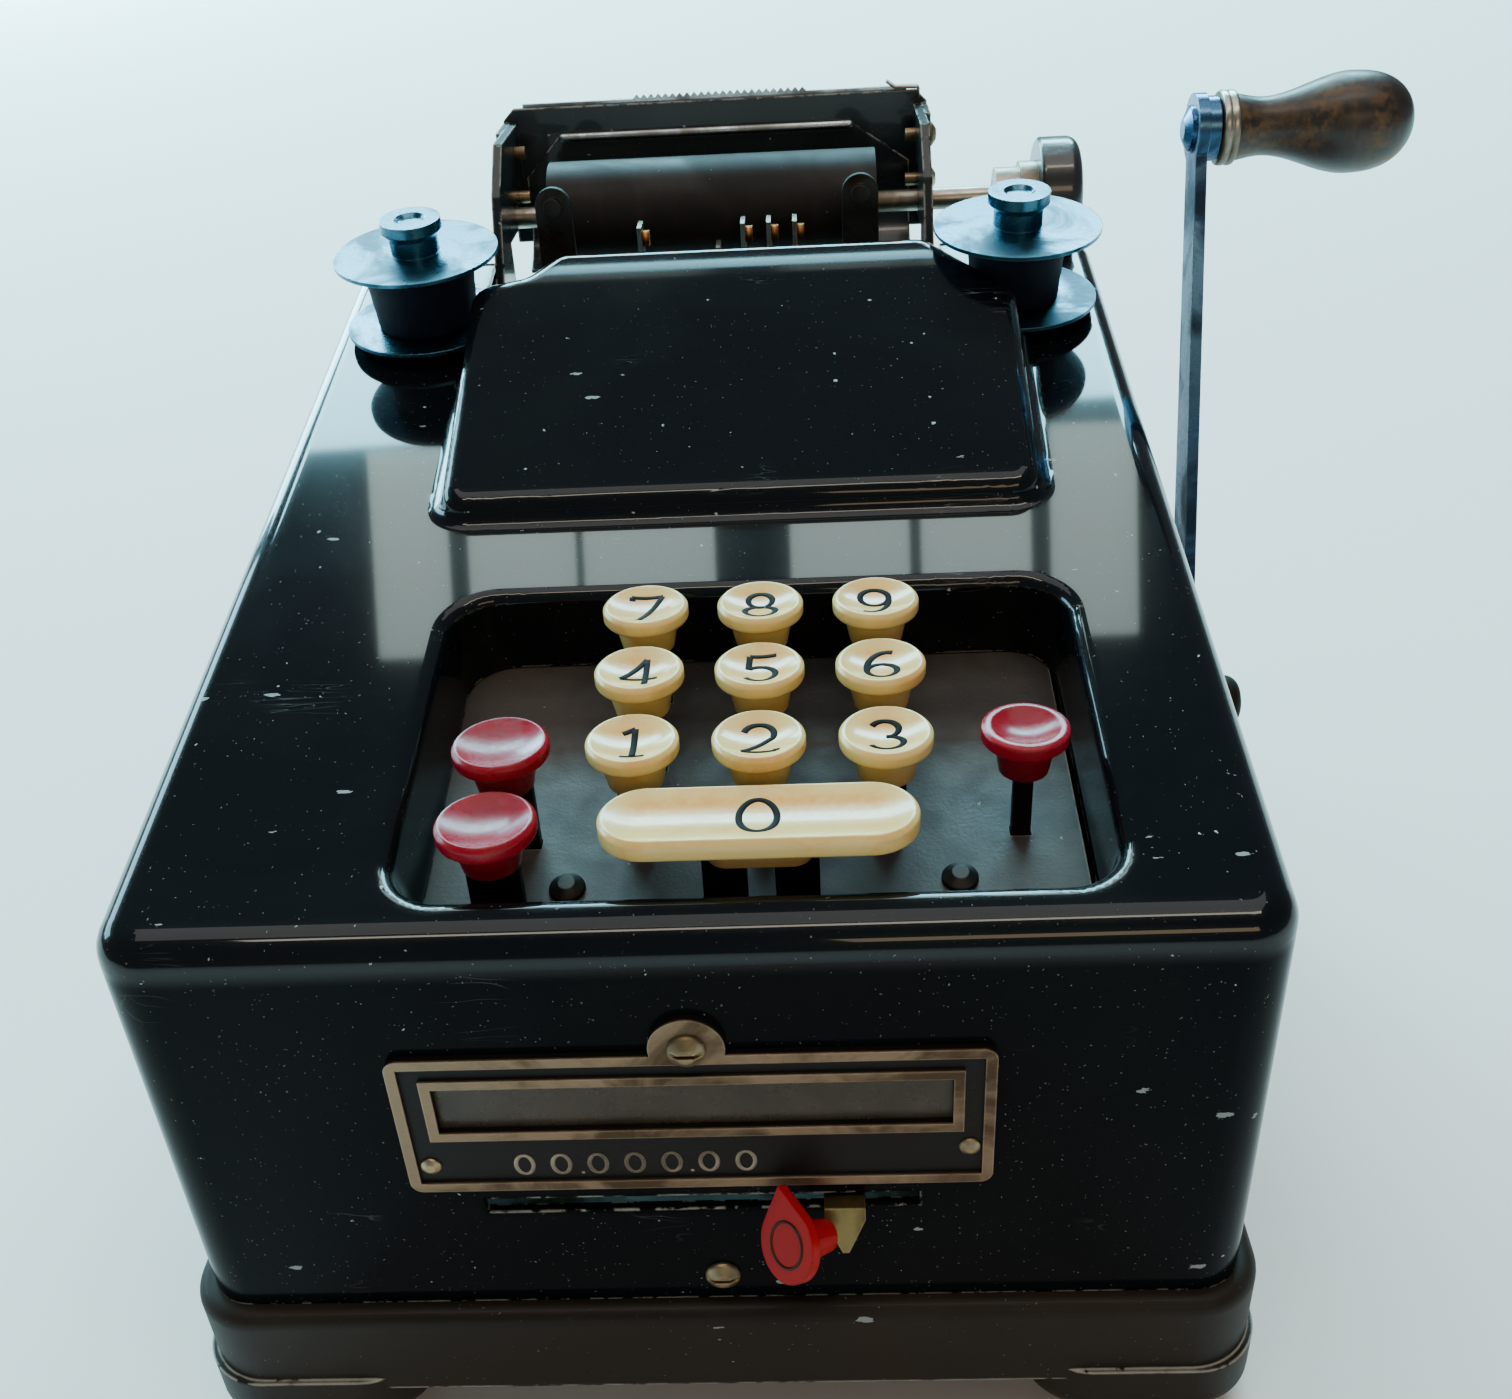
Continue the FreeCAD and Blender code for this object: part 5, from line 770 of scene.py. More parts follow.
@dataclass(frozen=True)
class Plastic(Finish):
    """Key plastic: handling's amber and painted shade in its dish, grimy specks, fine scratches.

    Attributes:
        patina_and_shade: the colour that handling gave it; also painted shade, deeper at the dish's
            back.
        share: how strong that colour is in the dish.
        soil: the colour of the grime.
        rough: roughness of the clean top.
        depth: how far light goes into it, from 0 to 1.
        coat: the clear gloss over it.
        shine: level of its own reflection.
    """

    patina_and_shade: Colour = (0.5, 0.3, 0.1)
    share: float = 0.7
    soil: Colour = (0.12, 0.08, 0.04)
    rough: float = 0.16
    depth: float = 0.1
    coat: float = 0.5
    shine: float = 0.4

    def paint(self, work: Painter) -> None:
        """Paints the plastic. Its dish colour and painted shade follow the piece's own u and v."""
        work.put(Coat_Weight=self.coat, Coat_Roughness=0.08, Specular_IOR_Level=self.shine,
                 Subsurface_Weight=self.depth, Subsurface_Scale=0.0012)
        cloud, fine = work.smears(110.0)
        marks, own = work.scratches(240.0, 0.42), work.own()
        dish = work.fit(work.vector("LENGTH", {0: own}).outputs["Value"], 0.95, 0.35)
        # Painted shade: the dish darkens towards its back (+y), where the hollow lies in shade.
        back = work.between(0.6, 1.0, work.fit(work.axis(own, 1), -0.5, 0.7))
        tint = work.times(work.times(dish, back), self.share)
        tint = work.times(tint, work.fit(fine, 0.1, 0.7, 0.55, 1.1), True)
        spots = work.times(work.dust(480.0, 0.08, 0.16), 0.75)
        tone = work.layers(self.colour, (tint, 1, self.patina_and_shade),
                           (work.fit(cloud, 0.35, 1.0), 0.3, self.patina_and_shade),
                           (work.most(spots, work.times(marks, 0.3)), 1, self.soil))
        height = work.minus(work.times(fine, 0.35), marks)
        work.put(Base_Color=tone,
                 Roughness=work.plus(work.times(fine, 0.16), self.rough),
                 Normal=work.bump(height, 0.00002, normal=work.soft(0.0004)))


@dataclass(frozen=True)
class Wood(Finish):
    """Dark varnished wood: long grain, rings across it and varnish worn off by the hand."""

    ring: Colour = (0.03, 0.018, 0.01)
    worn: Colour = (0.2, 0.12, 0.055)
    pore: Colour = (0.008, 0.006, 0.004)

    def paint(self, work: Painter) -> None:
        """Paints the wood, its grain along x."""
        work.put(Coat_Weight=0.12, Coat_Roughness=0.25, Specular_IOR_Level=0.35)
        grain = work.stretched(work.place, (0.12, 1.0, 1.0))
        values = {"Vector": grain, "Scale": 120.0, "Distortion": 6.0, "Detail": 3.0,
                  "Detail Scale": 1.6}
        bands = work.node("TexWave", values, bands_direction="Y").outputs["Fac"]
        pores = work.noise(grain, 1600.0, 3.0, 0.7)
        cloud, fine = work.smears(60.0)
        bare = work.times(cloud, work.fit(fine, 0.34, 0.66), True)
        tone = work.layers(self.colour, (bands, 1, self.ring),
                           (work.fit(pores, 0.62, 0.8), 1, self.pore), (bare, 1, self.worn),
                           (work.scratches(150.0, 0.5), 0.5, self.worn))
        height = work.minus(work.times(bands, 0.4), work.fit(pores, 0.6, 0.85))
        work.put(Base_Color=tone, Roughness=work.between(bare, 0.38, 0.66),
                 Normal=work.bump(height, 0.00003))


@dataclass(frozen=True)
class Rubber(Finish):
    """Rubber with a fine grain, lighter where it is worn or dusty."""

    worn: Colour = (0.09, 0.08, 0.07)
    rough: float = 0.6

    def paint(self, work: Painter) -> None:
        """Paints the rubber."""
        work.put(Specular_IOR_Level=0.25)
        rings = work.noise(work.stretched(work.place, (3.0, 0.6, 0.6)), 90.0, 3.0)
        tone = work.layers(self.colour, (work.fit(rings, 0.45, 0.75), 0.6, self.worn),
                           (work.dust(500.0, 0.09, 0.25), 0.5, DUST_GREY))
        rough = work.between(work.smears(35.0)[0], self.rough - 0.12, self.rough + 0.1)
        work.put(Base_Color=tone, Roughness=rough,
                 Normal=work.bump(work.noise(work.place, 1800.0, 2.0), 0.00002))


@dataclass(frozen=True)
class Cloth(Finish):
    """Inked ribbon cloth: a fine square weave that follows the piece's own u and v."""

    threads: float = 60.0

    def paint(self, work: Painter) -> None:
        """Paints the cloth."""
        work.put(Roughness=0.6, Sheen_Weight=0.02, Specular_IOR_Level=0.1)
        values = {"Vector": work.own(), "Scale": self.threads}
        weave = [work.node("TexWave", values, bands_direction=way).outputs["Fac"] for way in "XY"]
        height = work.times(*weave)
        lighter = tuple(c * 2.2 + 0.004 for c in self.colour)
        tone = work.layers(self.colour, (height, 0.7, lighter),
                           (work.smears(60.0)[0], 0.5, self.colour))
        work.put(Base_Color=tone, Normal=work.bump(height, 0.00004))


@dataclass(frozen=True)
class Pane(Finish):
    """Old clear sheet over a dark window, with a brown film and specks of dust."""

    film: Colour = (0.16, 0.11, 0.06)
    speck: Colour = (0.5, 0.45, 0.36)

    def paint(self, work: Painter) -> None:
        """Paints the pane."""
        work.put(Transmission_Weight=0.35, IOR=1.46, Coat_Weight=0.1, Specular_IOR_Level=0.25)
        cloud, fine = work.smears(40.0)
        tone = work.layers(self.colour, (cloud, 1, self.film),
                           (work.dust(700.0, 0.1, 0.3), 0.4, self.speck))
        work.put(Base_Color=tone, Roughness=work.fit(fine, 0.2, 0.8, 0.2, 0.4))


class Finishes:
    """Every finish of the machine, each made into a material once."""

    def __init__(self, effects: Effects) -> None:
        """Builds a material for each slot, and by name a few for single pieces."""
        slots: dict[Slot, Finish] = {
            Slot.CASE: Enamel("case_enamel", (0.0022, 0.0030, 0.0042), tint=(0.004, 0.005, 0.0055),
                              coat=0.6, shine=0.03, soft=0.0022, film=0.03, waist=WAIST, roll=0.30),
            Slot.BASE: Enamel("base_enamel", (0.011, 0.008, 0.005), tint=(0.022, 0.015, 0.009),
                              gloss=0.46, dull=0.58, peel=0.00004, dust=0.14, chips=0.5,
                              coat=0.02, shine=0.16),
            Slot.CARRIAGE: Enamel("carriage_enamel", (0.008, 0.013, 0.014), chips=0.45, coat=0.2,
                                  tint=(0.014, 0.020, 0.021), gloss=0.22, dull=0.38, peel=0.000006),
            Slot.KEY_PLATE: Wrinkle("key_plate_wrinkle", (0.016, 0.014, 0.013),
                                    worn=(0.042, 0.032, 0.025)),
            Slot.RUBBER: Rubber("foot_rubber", (0.012, 0.012, 0.012)),
            Slot.PLATEN: Rubber("platen_rubber", (0.010, 0.008, 0.007), worn=(0.018, 0.014, 0.011)),
            Slot.INNER: Metal("inner_steel", (0.32, 0.31, 0.3), rough=0.34),
            Slot.BRONZE: Metal("bronze", (0.5, 0.33, 0.14), rough=0.3),
            Slot.DARK_STEEL: Metal("blackened_steel", (0.05, 0.045, 0.042),
                                   tarnish=(0.03, 0.022, 0.016), rough=0.38),
            Slot.NICKEL: Metal("nickel", (0.44, 0.40, 0.34), tarnish=(0.20, 0.165, 0.125),
                               aged=0.5, rough=0.24),
            Slot.ARM: Metal("arm_steel", (0.055, 0.13, 0.24), tarnish=(0.02, 0.035, 0.06),
                            aged=0.35, rough=0.2, brushed=(8.0, 8.0, 0.6)),
            Slot.SPOOL: Metal("spool_plating", (0.055, 0.155, 0.225), tarnish=(0.02, 0.06, 0.09),
                              rough=0.2, brushed=(1.0, 1.0, 6.0)),
            Slot.KNOB: Plastic("knob_black", (0.012, 0.012, 0.012), patina_and_shade=(0.02, 0.018, 0.016),
                               soil=(0.05, 0.045, 0.04), rough=0.26, depth=0.0),
            Slot.IVORY: Plastic("ivory_plastic", (0.88, 0.60, 0.21), patina_and_shade=(0.78, 0.25, 0.012),
                                share=0.85, coat=0.25),
            Slot.RED: Plastic("red_plastic", (0.30, 0.003, 0.014), patina_and_shade=(0.18, 0.002, 0.010),
                              share=0.5, soil=(0.45, 0.3, 0.28), rough=0.2, depth=0.02,
                              coat=0.08, shine=0.25),
            Slot.GRIP: Wood("grip_wood", (0.022, 0.015, 0.011), ring=(0.014, 0.010, 0.008),
                            worn=(0.13, 0.062, 0.02)),
            Slot.WINDOW: Pane("window_pane", (0.085, 0.062, 0.042), film=(0.05, 0.036, 0.024)),
            Slot.BADGE: Badge("badge_bronze", (0.27, 0.185, 0.115), tarnish=(0.10, 0.062, 0.035),
                              rough=0.34, brushed=(0.6, 6.0, 6.0),
                              face=Extent.of("indicator_plate").low.y),
        }
        own: tuple[Finish, ...] = (
            Rubber("legend_paint", (0.004, 0.004, 0.004), worn=(0.015, 0.012, 0.01), rough=0.9),
            Cloth("ribbon_cloth", (0.002, 0.006, 0.014)),
            Rubber("ring_paint", (0.03, 0.012, 0.004), worn=(0.1, 0.05, 0.02), rough=0.45),
            Metal("figure_brass", (0.42, 0.33, 0.24), tarnish=(0.2, 0.15, 0.11), rough=0.5),
            Metal("tab_brass", (0.25, 0.175, 0.07), tarnish=(0.09, 0.06, 0.025), aged=0.6,
                  rough=0.34),
            Metal("screw_brass", (0.42, 0.32, 0.19), tarnish=(0.20, 0.145, 0.08), aged=0.5,
                  rough=0.28),
            Plastic("pointer_red", (0.40, 0.004, 0.005), patina_and_shade=(0.27, 0.003, 0.002), share=0.2,
                    soil=(0.32, 0.05, 0.04), rough=0.24, depth=0.0, coat=0.0, shine=0.12),
            Metal("blade_steel", (0.52, 0.56, 0.58), tarnish=(0.25, 0.24, 0.23), aged=0.25,
                  rough=0.22),
            Metal("slug_copper", (0.6, 0.25, 0.08), tarnish=(0.3, 0.1, 0.03), rough=0.4),
        )
        self.by_slot = {slot: finish.material(effects) for slot, finish in slots.items()}
        self.own = {finish.name: finish.material(effects) for finish in own}
        LOG.info("finishes: %d", len(self.by_slot) + len(self.own))

    def dress(self, record: dict, nodes: dict[str, bpy.types.Object]) -> None:
        """Gives every CAD node the material of its slot, and some nodes their own.

        Args:
            record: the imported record.
            nodes: the CAD objects by node name.
        """
        own = {"column_tab": "tab_brass", "column_knob": "pointer_red", "tear_blade": "blade_steel",
               "slotted_screws": "screw_brass", "plate_rivets": "screw_brass"}
        for entry in record["subparts"]:
            node = entry["node"]
            mesh = nodes[node].data
            mesh.materials.clear()
            mesh.materials.append(self.own[own[node]] if node in own
                                  else self.by_slot[Slot(entry["material_slot"])])


# Marks on a surface


Surface = Callable[[np.ndarray, float], np.ndarray]


def bow(middle: Spot, reach: Spot, first: float, last: float, count: int = 26) -> np.ndarray:
    """Points along an ellipse: its middle plus its reaches times the angle's cosine and sine.

    Args:
        middle: the ellipse's middle.
        reach: half its width and half its height.
        first: the angle that the points start at, in degrees.
        last: the angle that they end at.
        count: how many points.

    Returns:
        The points, one row of x, y each.
    """
    angle = np.radians(np.linspace(first, last, count))
    return np.array(middle) + np.array(reach) * np.stack([np.cos(angle), np.sin(angle)], -1)


def run(start: Spot, end: Spot, count: int = 8) -> np.ndarray:
    """Even points along a straight line."""
    return np.linspace(start, end, count)


@dataclass(frozen=True)
class Pen:
    """How lines are drawn on a surface.

    Attributes:
        thin: width of a line that runs across, in millimetres.
        thick: width of a line that runs upwards.
        proud: how far the paint stands over the surface.
        sunk: how far it reaches under the surface.
    """

    thin: float = 0.75
    thick: float = 1.05
    proud: float = 0.03
    sunk: float = 0.12

    def draw(self, line: np.ndarray, surface: Surface) -> Skin:
        """A line on a surface.

        Its two edges are its points moved half the width to either side. The surface carries
        both edges to the height and to the depth, and the four rows of points close into a
        thin band.

        Args:
            line: the line's points; where the last is the first, the line is closed.
            surface: gives places in space for flat points and a height over them.

        Returns:
            The band, in metres.
        """
        closed = bool(np.allclose(line[0], line[-1]))
        if closed:
            line = line[:-1]
            ahead = np.roll(line, -1, 0) - np.roll(line, 1, 0)
        else:
            ahead = np.gradient(line, axis=0)
        ahead /= np.linalg.norm(ahead, axis=1, keepdims=True)
        half = (self.thin + (self.thick - self.thin) * np.abs(ahead[:, 1:])) / 2
        across = np.stack([ahead[:, 1], -ahead[:, 0]], -1) * half
        corners = ((-1, self.proud), (1, self.proud), (1, -self.sunk), (-1, -self.sunk))
        rows = [surface(line + side * across, height) for side, height in corners]
        return tube(np.stack(rows, 1), closed)


def figures() -> dict[str, list[np.ndarray]]:
    """The lines of each figure, one unit high, its foot at zero and its middle on x = 0."""
    six = [bow((0.02, 0.3), (0.32, 0.3), 180, -180, 40), bow((0.14, 0.38), (0.44, 0.6), 72, 190)]
    two = np.vstack([bow((0.0, 0.71), (0.31, 0.29), 168, -28), run((0.18, 0.5), (-0.33, 0.03))])
    return {
        "zero": [bow((0.0, 0.5), (0.37, 0.5), 0, 360, 48)],
        "one": [run((-0.22, 0.86), (0.03, 1.0)), run((0.03, 1.0), (0.03, 0.0)),
                run((-0.22, 0.0), (0.28, 0.0))],
        "two": [two, run((-0.35, 0.03), (0.37, 0.03)), run((0.36, 0.02), (0.36, 0.12))],
        "three": [bow((-0.01, 0.76), (0.28, 0.24), 158, -88),
                  bow((0.0, 0.27), (0.34, 0.27), 90, -158)],
        "four": [run((0.14, 1.0), (-0.38, 0.28)), run((-0.4, 0.28), (0.4, 0.28)),
                 run((0.14, 1.0), (0.14, 0.0))],
        "five": [run((-0.21, 0.98), (0.36, 0.98)), run((-0.21, 0.98), (-0.24, 0.53)),
                 bow((0.0, 0.32), (0.34, 0.32), 132, -150)],
        "six": six,
        "seven": [run((-0.33, 0.88), (-0.33, 1.0)), run((-0.35, 1.0), (0.36, 1.0)),
                  run((0.35, 1.0), (-0.12, 0.0))],
        "eight": [bow((0.0, 0.75), (0.27, 0.25), 0, 360, 40),
                  bow((0.0, 0.26), (0.34, 0.26), 0, 360, 40)],
        "nine": [np.array((0.0, 1.0)) - line for line in six],
    }


# Sub-assemblies


@dataclass
class Assembly:
    """What every sub-assembly has.

    Attributes:
        finishes: the materials.
    """

    finishes: Finishes

    def add(self, skin: Skin, name: str, body: str, slot: Slot, paint: str = "",
            replaces: tuple[str, ...] = ()) -> None:
        """Puts a skin into the scene as a finished piece.

        Args:
            skin: the piece's surface, in the row's frame.
            name: the piece's name.
            body: the body that it rides on.
            slot: the record's slot that its finish belongs to.
            paint: the name of its own finish; without one it has the slot's.
            replaces: the CAD nodes that it stands for.
        """
        made = linked(name, skin.mesh(name))
        made.data.materials.append(self.finishes.own[paint] if paint
                                   else self.finishes.by_slot[slot])
        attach(made, body)
        if replaces:
            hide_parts(*replaces)
        LOG.info("piece %s rides on %s", name, body)


def dished(away: np.ndarray, reach: float, depth: float) -> np.ndarray:
    """Height of a ball-shaped hollow under its rim.

    The ball's radius is (reach² + depth²) / (2 depth), and the height is the ball's own, less
    the depth.
    """
    ball = (reach ** 2 + depth ** 2) / (2 * depth)
    return ball - depth - np.sqrt(ball ** 2 - np.minimum(away, reach) ** 2)


@dataclass(frozen=True)
class Cap:
    """A key top: a hollow, a rounded rim and a side. The crest is at height zero.

    Attributes:
        reach: radius of the hollow.
        dish: depth of the hollow.
        side: radius, height and round of each corner outside the hollow, down to the axis.
        straight: half its straight middle.
        around: points in a ring.
        lip: where the hollow's last ring is, in from its reach.
        rim: round of the hollow's edge.
    """

    reach: float
    dish: float
    side: tuple[Place, ...]
    straight: float = 0.0
    around: int = AROUND
    lip: float = 0.35
    rim: float = 0.32

    def skin(self) -> Skin:
        """The key top's skin."""
        away = np.linspace(0.0, self.reach - self.lip, 16)
        inside = np.stack([away, dished(away, self.reach, self.dish)], -1)
        corners = [(*inside[-1], 0.0), (self.reach, 0.0, self.rim), *self.side]
        return lathe(np.vstack([inside[:-1], rounded(corners)]), self.around, self.straight)


@dataclass
class Keyboard(Assembly):
    """Ten ivory keys with their figures, and three red buttons.

    Attributes:
        number: a number key.
        red: a red button on the left.
        end: the red button on the right: a band over a tapering skirt.
        bar: the zero key's slab.
        bar_foot: radius, height and round of each corner of the zero key's foot.
        bar_straight: half the foot's straight middle.
        figure: width and height that a unit of a figure becomes.
    """

    number: Cap = Cap(6.4, 1.6, ((7.1, -0.7, 0.7), (7.1, -2.6, 0.9), (5.2, -3.6, 0.6),
                                 (4.3, -8.0, 0.25), (0.0, -8.0, 0.0)))
    red: Cap = Cap(6.7, 1.6, ((7.4, -0.7, 0.7), (7.4, -2.6, 0.9), (5.2, -3.6, 0.6),
                              (4.3, -8.0, 0.25), (0.0, -8.0, 0.0)))
    end: Cap = Cap(5.2, 1.6, ((5.9, -0.02, 0.2), (6.6, -0.35, 0.4), (6.6, -2.5, 0.5),
                              (4.65, -2.55, 0.15), (3.75, -8.0, 0.25), (0.0, -8.0, 0.0)))
    bar: Cap = Cap(6.3, 1.2, ((7.0, -0.7, 0.7), (7.0, -3.5, 0.7), (0.0, -3.5, 0.0)), 16.0, 128)
    bar_foot: tuple[Place, ...] = ((0.0, -2.9, 0.0), (5.1, -2.9, 0.0), (4.6, -3.9, 0.8),
                                   (3.0, -8.0, 0.5), (0.0, -8.0, 0.0))
    bar_straight: float = 4.6
    figure: float = 7.4

    def zero(self) -> Skin:
        """The zero key: a hollowed slab with round ends over a tapering foot."""
        foot = lathe(rounded(list(self.bar_foot)), 64, self.bar_straight)
        return Skin.joined([self.bar.skin(), foot])

    def figure_on(self, number: str, lines: list[np.ndarray], place: Matrix) -> None:
        """Draws a key's figure on its hollow."""
        bar = number == "zero"
        reach, depth = self.number.reach, (self.bar if bar else self.number).dish

        def surface(flat: np.ndarray, height: float) -> np.ndarray:
            """The hollow's place over flat points."""
            away = np.abs(flat[:, 1]) if bar else np.linalg.norm(flat, axis=1)
            return np.column_stack([flat, dished(away, reach, depth) + height])

        skins = [Pen().draw((line - (0.0, 0.5)) * self.figure, surface) for line in lines]
        self.add(Skin.joined(skins).moved(place), "figure_" + number, "digit_" + number, Slot.KNOB,
                 "legend_paint")

    def build(self) -> None:
        """Builds every key and every figure."""
        for number, lines in figures().items():
            node = "key_" + number
            place = Matrix.Translation(Extent.of(node).top)
            skin = self.zero() if number == "zero" else self.number.skin()
            self.add(skin.moved(place), "cap_" + number, "digit_" + number, Slot.IVORY,
                     replaces=(node,))
            self.figure_on(number, lines, place)
        for side, cap in (("back", self.red), ("front", self.red), ("right", self.end)):
            node = "key_red_" + side
            skin = cap.skin().moved(Matrix.Translation(Extent.of(node).top))
            self.add(skin, "red_cap_" + side, "red_%s_button" % side, Slot.RED, replaces=(node,))


@dataclass
class Indicator(Assembly):
    """The zeros and their points on the indicator plate, and the ring on the pointer's face.

    Attributes:
        first: x of the first zero, in the machine's own frame.
        count: how many zeros.
        pitch: from one zero to the next.
        level: height of the zeros' middles.
        zero: half a zero's width and height.
        points: x of the two points between them.
        drop: the points under the zeros' middles.
        dot: half a point's width.
        field: y of the plate's field.
        pointer: the middle of the pointer's face.
        normal: which way the face looks.
        tip: which way the pointer points.
        ring: radius of the ring on the face.
        wire: radius of the ring's section.
        rim: thickness of the face.
    """

    first: float = -26.9
    count: int = 7
    pitch: float = 5.52
    level: float = 62.6
    zero: Spot = (1.3, 1.95)
    points: Spot = (-18.3, -1.9)
    drop: float = 1.9
    dot: float = 0.25
    field: float = -0.7
    pointer: Place = (13.0, -8.4, 53.4)
    normal: Place = (-0.72, -0.55, 0.43)
    tip: Place = (-0.125, 0.71, 0.69)
    ring: float = 3.3
    wire: float = 0.24
    rim: float = 1.6

    def zeros(self) -> None:
        """The zeros, with two points between them."""
        def surface(flat: np.ndarray, height: float) -> np.ndarray:
            """A place on the field over flat points."""
            y = np.full(len(flat), self.field - height)
            return np.column_stack([flat[:, 0], y, flat[:, 1]])

        pen = Pen(thin=0.45, thick=0.65, proud=0.08, sunk=0.2)
        lines = [bow((self.first + self.pitch * number, self.level), self.zero, 0, 360, 32)
                 for number in range(self.count)]
        foot, dot = self.level - self.drop, self.dot
        lines += [run((x - dot, foot), (x + dot, foot), 3) for x in self.points]
        skin = Skin.joined([pen.draw(line, surface) for line in lines]).moved(machine())
        self.add(skin, "indicator_zeros", "root", Slot.BADGE, "figure_brass")

    def pointer_ring(self) -> None:
        """A thin ring sunk by half its thickness into the pointer's face."""
        normal = Vector(self.normal).normalized()
        across = Vector(self.tip).cross(normal).normalized()
        place = Matrix((across, normal.cross(across), normal)).transposed().to_4x4()
        place.translation = Vector(self.pointer) * MM
        flat = bow((0.0, 0.0), (self.ring, self.ring), 0, 360, 65)[:-1]
        line = np.column_stack([flat, np.full(len(flat), self.rim)])
        skin = sweep(line, circle(self.wire, 10), UP, True).moved(machine() @ place)
        self.add(skin, "pointer_ring", "pointer", Slot.RED, "ring_paint")

    def build(self) -> None:
        """Builds the zeros and the ring."""
        self.zeros()
        self.pointer_ring()


@dataclass
class RibbonDrive(Assembly):
    """The ribbon cloth that is wound on the two spools.

    Attributes:
        places: for each side the spool's x, and the winding's radius at its foot and its top.
        y: where the posts leave the case.
        lean: lean of the spools forwards, in degrees.
        lift: the lower flange over the case.
        low: top of the lower flange.
        high: under side of the upper flange.
        case_front: height of the case's slope at y = 0.
        slope: the slope, in degrees.
        gap: from the winding's ends to the flanges.
        crest: how far its outside stands over its radius.
        step: height of the steps where turns end.
        turns: how many steps, times two pi.
        thick: thickness of the band.
        weave: how far the cloth's u runs in a radian.
    """

    places: tuple[tuple[str, float, float, float], ...] = (
        ("left", -61.8, 10.3, 11.5), ("right", 63.1, 9.0, 10.2))
    y: float = 163.5
    lean: float = 7.0
    lift: float = 2.0
    low: float = 0.8
    high: float = 15.1
    case_front: float = 104.8
    slope: float = 11.2
    gap: float = 0.1
    crest: float = 0.14
    step: float = 0.05
    turns: float = 21.0
    thick: float = 0.8
    weave: float = 10.0

    def wound(self, low: float, high: float) -> Skin:
        """A wound band, of radius `low` at its foot and `high` at its top, rough with its turns.

        The outside's radius runs evenly from one to the other, plus small steps where turns end.
        """
        rise = np.linspace(self.low + self.gap, self.high - self.gap, 15)
        share = (rise - rise[0]) / (rise[-1] - rise[0])
        steps = self.step * np.sin(share * self.turns)
        outside = low + (high - low) * share + self.crest + steps
        inside = np.column_stack([outside - self.thick, rise])[::-1]
        profile = np.vstack([np.column_stack([outside, rise]), inside])
        angle = np.linspace(0, TURN, AROUND + 1)
        shape = (len(profile), len(angle))
        radius, height = profile[:, :1], np.broadcast_to(profile[:, 1:], shape)
        points = np.stack([radius * np.cos(angle), radius * np.sin(angle), height], -1)
        spots = np.stack([np.broadcast_to(angle * self.weave, shape), height], -1)
        return Skin(points.reshape(-1, 3) * MM, [grid_faces(*shape, True, False)],
                    spots.reshape(-1, 2))

    def build(self) -> None:
        """Winds both spools."""
        for side, x, low, high in self.places:
            lean = math.radians(self.lean)
            top = self.case_front + self.y * math.tan(math.radians(self.slope))
            foot = (x, self.y - self.lift * math.sin(lean), top + self.lift * math.cos(lean))
            turn = Matrix.Translation(Vector(foot) * MM) @ Matrix.Rotation(lean, 4, "X")
            self.add(self.wound(low, high).moved(machine() @ turn), "wound_ribbon_" + side,
                     side + "_spool", Slot.KNOB, "ribbon_cloth")


